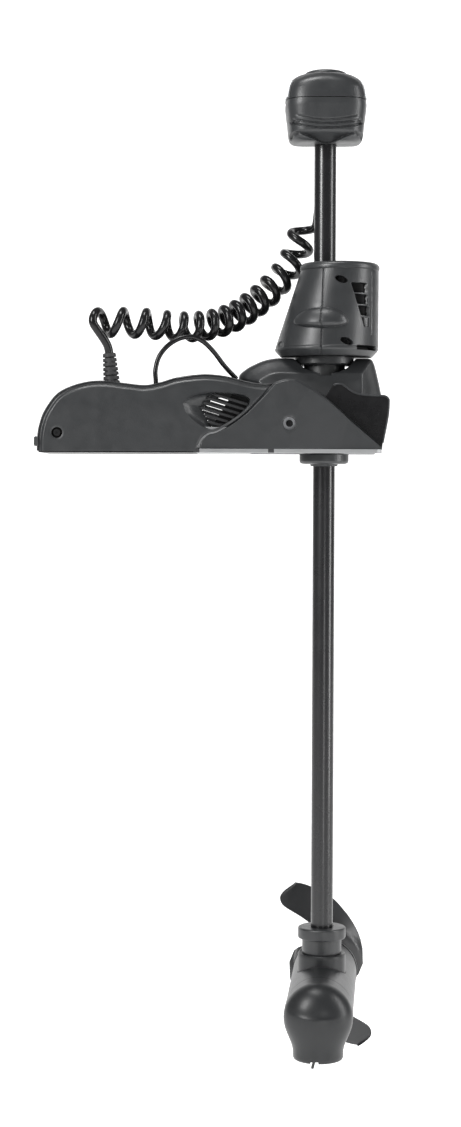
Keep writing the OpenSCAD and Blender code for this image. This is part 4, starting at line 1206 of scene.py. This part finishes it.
LEAD_EDGE = spline([(0, 90), (0.2, 97), (0.46, 112), (0.65, 121), (0.8, 125.5), (0.9, 125),
                    (0.96, 121.5), (1, 112)], 8)
TRAIL_EDGE = spline([(0, -50), (0.2, -36), (0.3, -16), (0.33, 6), (0.37, 28), (0.46, 52),
                     (0.58, 71), (0.71, 84), (0.85, 98), (0.94, 105.5), (1, 111)], 8)


def blade_point(s, t, face):
    """A point of a blade: s from hub to tip, t from the leading edge to the trailing edge."""
    radius = 19 + (PROP_R - 19) * s
    lead, trail = (float(np.interp(s, edge[:, 0], edge[:, 1])) for edge in (LEAD_EDGE, TRAIL_EDGE))
    a = radians(lead * (1 - t) + trail * t)
    thick = (3.4 - 2 * s) * (0.25 + 0.75 * sin(pi * t))
    u = 179 + 28 * t * (1 - 0.6 * s) + 6 * s
    return (radius * cos(a), u + face * thick / 2, radius * sin(a))


def add_propeller():
    rows, cols = 44, 30
    for turn, tag in ((1, "a"), (-1, "b")):
        rings = []
        for i in range(rows):
            s = sin(pi / 2 * i / (rows - 1))
            ring = []
            shares = np.linspace(0, 1, cols)
            for face, run in ((-1, shares), (1, shares[::-1])):
                for t in run:
                    x, u, z = blade_point(s, t, face)
                    ring.append(lower((turn * x, u, turn * z)))
            rings.append(ring)
        lofted(f"blade_{tag}", rings, PLASTIC_DARK_GLOSS, "propeller", "moulded",
              ("propeller",) if turn > 0 else (), sharp=60)
    hub = rounded([(0.01, 172), (20, 172), (23, 176), (23.5, 186), (22, 206), (19, 212),
                   (14.5, 212.5), (14.5, 210), (6.2, 210)], 1.5)
    revolve("prop_hub", hub, None, PLASTIC_DARK_GLOSS, "propeller", "moulded", (), sides=96,
            axis="U")


add_lower_unit()
add_propeller()


# ---- small moulded details -------------------------------------------------

WING = [(150, 60), (155, 75), (162, 86.5), (166, 91), (171, 92.6), (177, 92.3), (183, 88),
        (193, 81.5), (204, 78.4), (223, 77.3), (234, 76.8), (239, 73.5), (240, 68), (238.4, 48),
        (232, 14)]


def add_relief():
    """Strain relief of the coiled lead: blocks parted by full slots and by side notches."""
    lean = radians(-4.8)
    base_at = np.array((-130.0, -65.0, DECK_Z))
    heights = np.linspace(0.4, 48.6, 150)
    sides = 64
    angle = 2 * pi * np.arange(sides) / sides
    beside = smooth(0.30, 0.55, np.abs(np.cos(angle)))
    rings = []
    for z in heights:
        radius = np.full(sides, 11.7 - 3.0 * z / 48.6)
        for k in range(6):
            groove = 1 - float(smooth(0.55, 1.0, abs(z - 12.4 - 6.0 * k)))
            radius -= groove * (2.6 if k % 2 else 2.2 * beside)
        radius -= 1.4 * float(smooth(47.2, 48.6, z)) ** 2
        rings.append((radius, z))
    rings.append((np.full(sides, LEAD_D / 2 + 0.1), 48.7))
    rings.append((np.full(sides, LEAD_D / 2 + 0.1), 40.0))
    rows = []
    for radius, z in rings:
        x, y = radius * np.cos(angle), radius * np.sin(angle)
        rows.append([tuple(base_at + np.array((px * cos(lean) + z * sin(lean), py,
                                               z * cos(lean) - px * sin(lean))))
                     for px, py in zip(x, y)])
    verts, faces = loft(rows)
    verts = [(v[0], v[1], max(v[2], DECK_Z + 0.1)) for v in verts]
    piece("lead_relief", verts, faces, RUBBER, "base", "rubber", ("cord_relief",), sharp=30)


def add_guide_wing():
    """Upright guide wall inside the starboard ramp, between it and the tilting arm."""
    top = resample(spline(WING, 10), 120)
    outline = np.concatenate([[(150.0, BASE_TOP)], top, [(231.0, BASE_TOP)]])
    rings = []
    for inset, y in ((0.8, -63.6), (0.0, -63.0), (0.0, -60.8), (0.8, -60.2)):
        rings.append([(p[0], y, p[1]) for p in inset_outline(outline, inset)])
    lofted("ramp_wing_starboard", rings, WING_BLACK, "base", "moulded", sharp=30)
    rim = resample(spline(WING, 10)[30:], 90)
    normal = np.gradient(rim, axis=0)
    normal = np.stack([-normal[:, 1], normal[:, 0]], 1)
    normal /= norm(normal, axis=1)[:, None]
    rings = []
    for p, n in zip(rim, normal):
        rings.append([(p[0] + n[0] * h, y, p[1] + n[1] * h) for h, y in
                      ((0.5, -64.6), (1.1, -64.0), (1.1, -60.4), (0.5, -59.8), (-0.9, -59.8),
                       (-1.3, -60.4), (-1.3, -64.0), (-0.9, -64.6))])
    lofted("ramp_wing_rim", rings, PLASTIC, "base", "moulded", sharp=50)


def add_tabs():
    for side, tag in SIDES:
        rings = []
        for inset, y in ((0.9, 92.0), (0.0, 91.1), (0.0, 86.9), (0.9, 86.0)):
            rings.append([(x, side * y, z) for x, z in
                          ((-232.5 + inset, 9.5 + inset), (-231.5 + inset, 8 + inset),
                           (-227, 8 + inset), (-227, 21 - inset), (-231.0 + inset, 21 - inset),
                           (-232.5 + inset, 19.5 - inset))])
        lofted(f"rear_tab_{tag}", rings, PLASTIC, "base", "moulded", sharp=30)


def add_bushing():
    revolve("shaft_guide", rounded([(15.3, -17), (18.6, -17), (18.6, -14.2), (28, -14.2),
                                    (32, -13), (33.5, -10.5), (33.5, -0.6), (21, -0.6),
                                    (20.8, 24), (15.3, 24), (15.3, -17)], 1.0),
            (SHAFT_X, 0, 0), PLASTIC, "tilt_arm", "moulded", ("lower_bushing",), sides=120)


add_relief()
add_bushing()
add_guide_wing()
add_tabs()

bpy.context.view_layer.update()
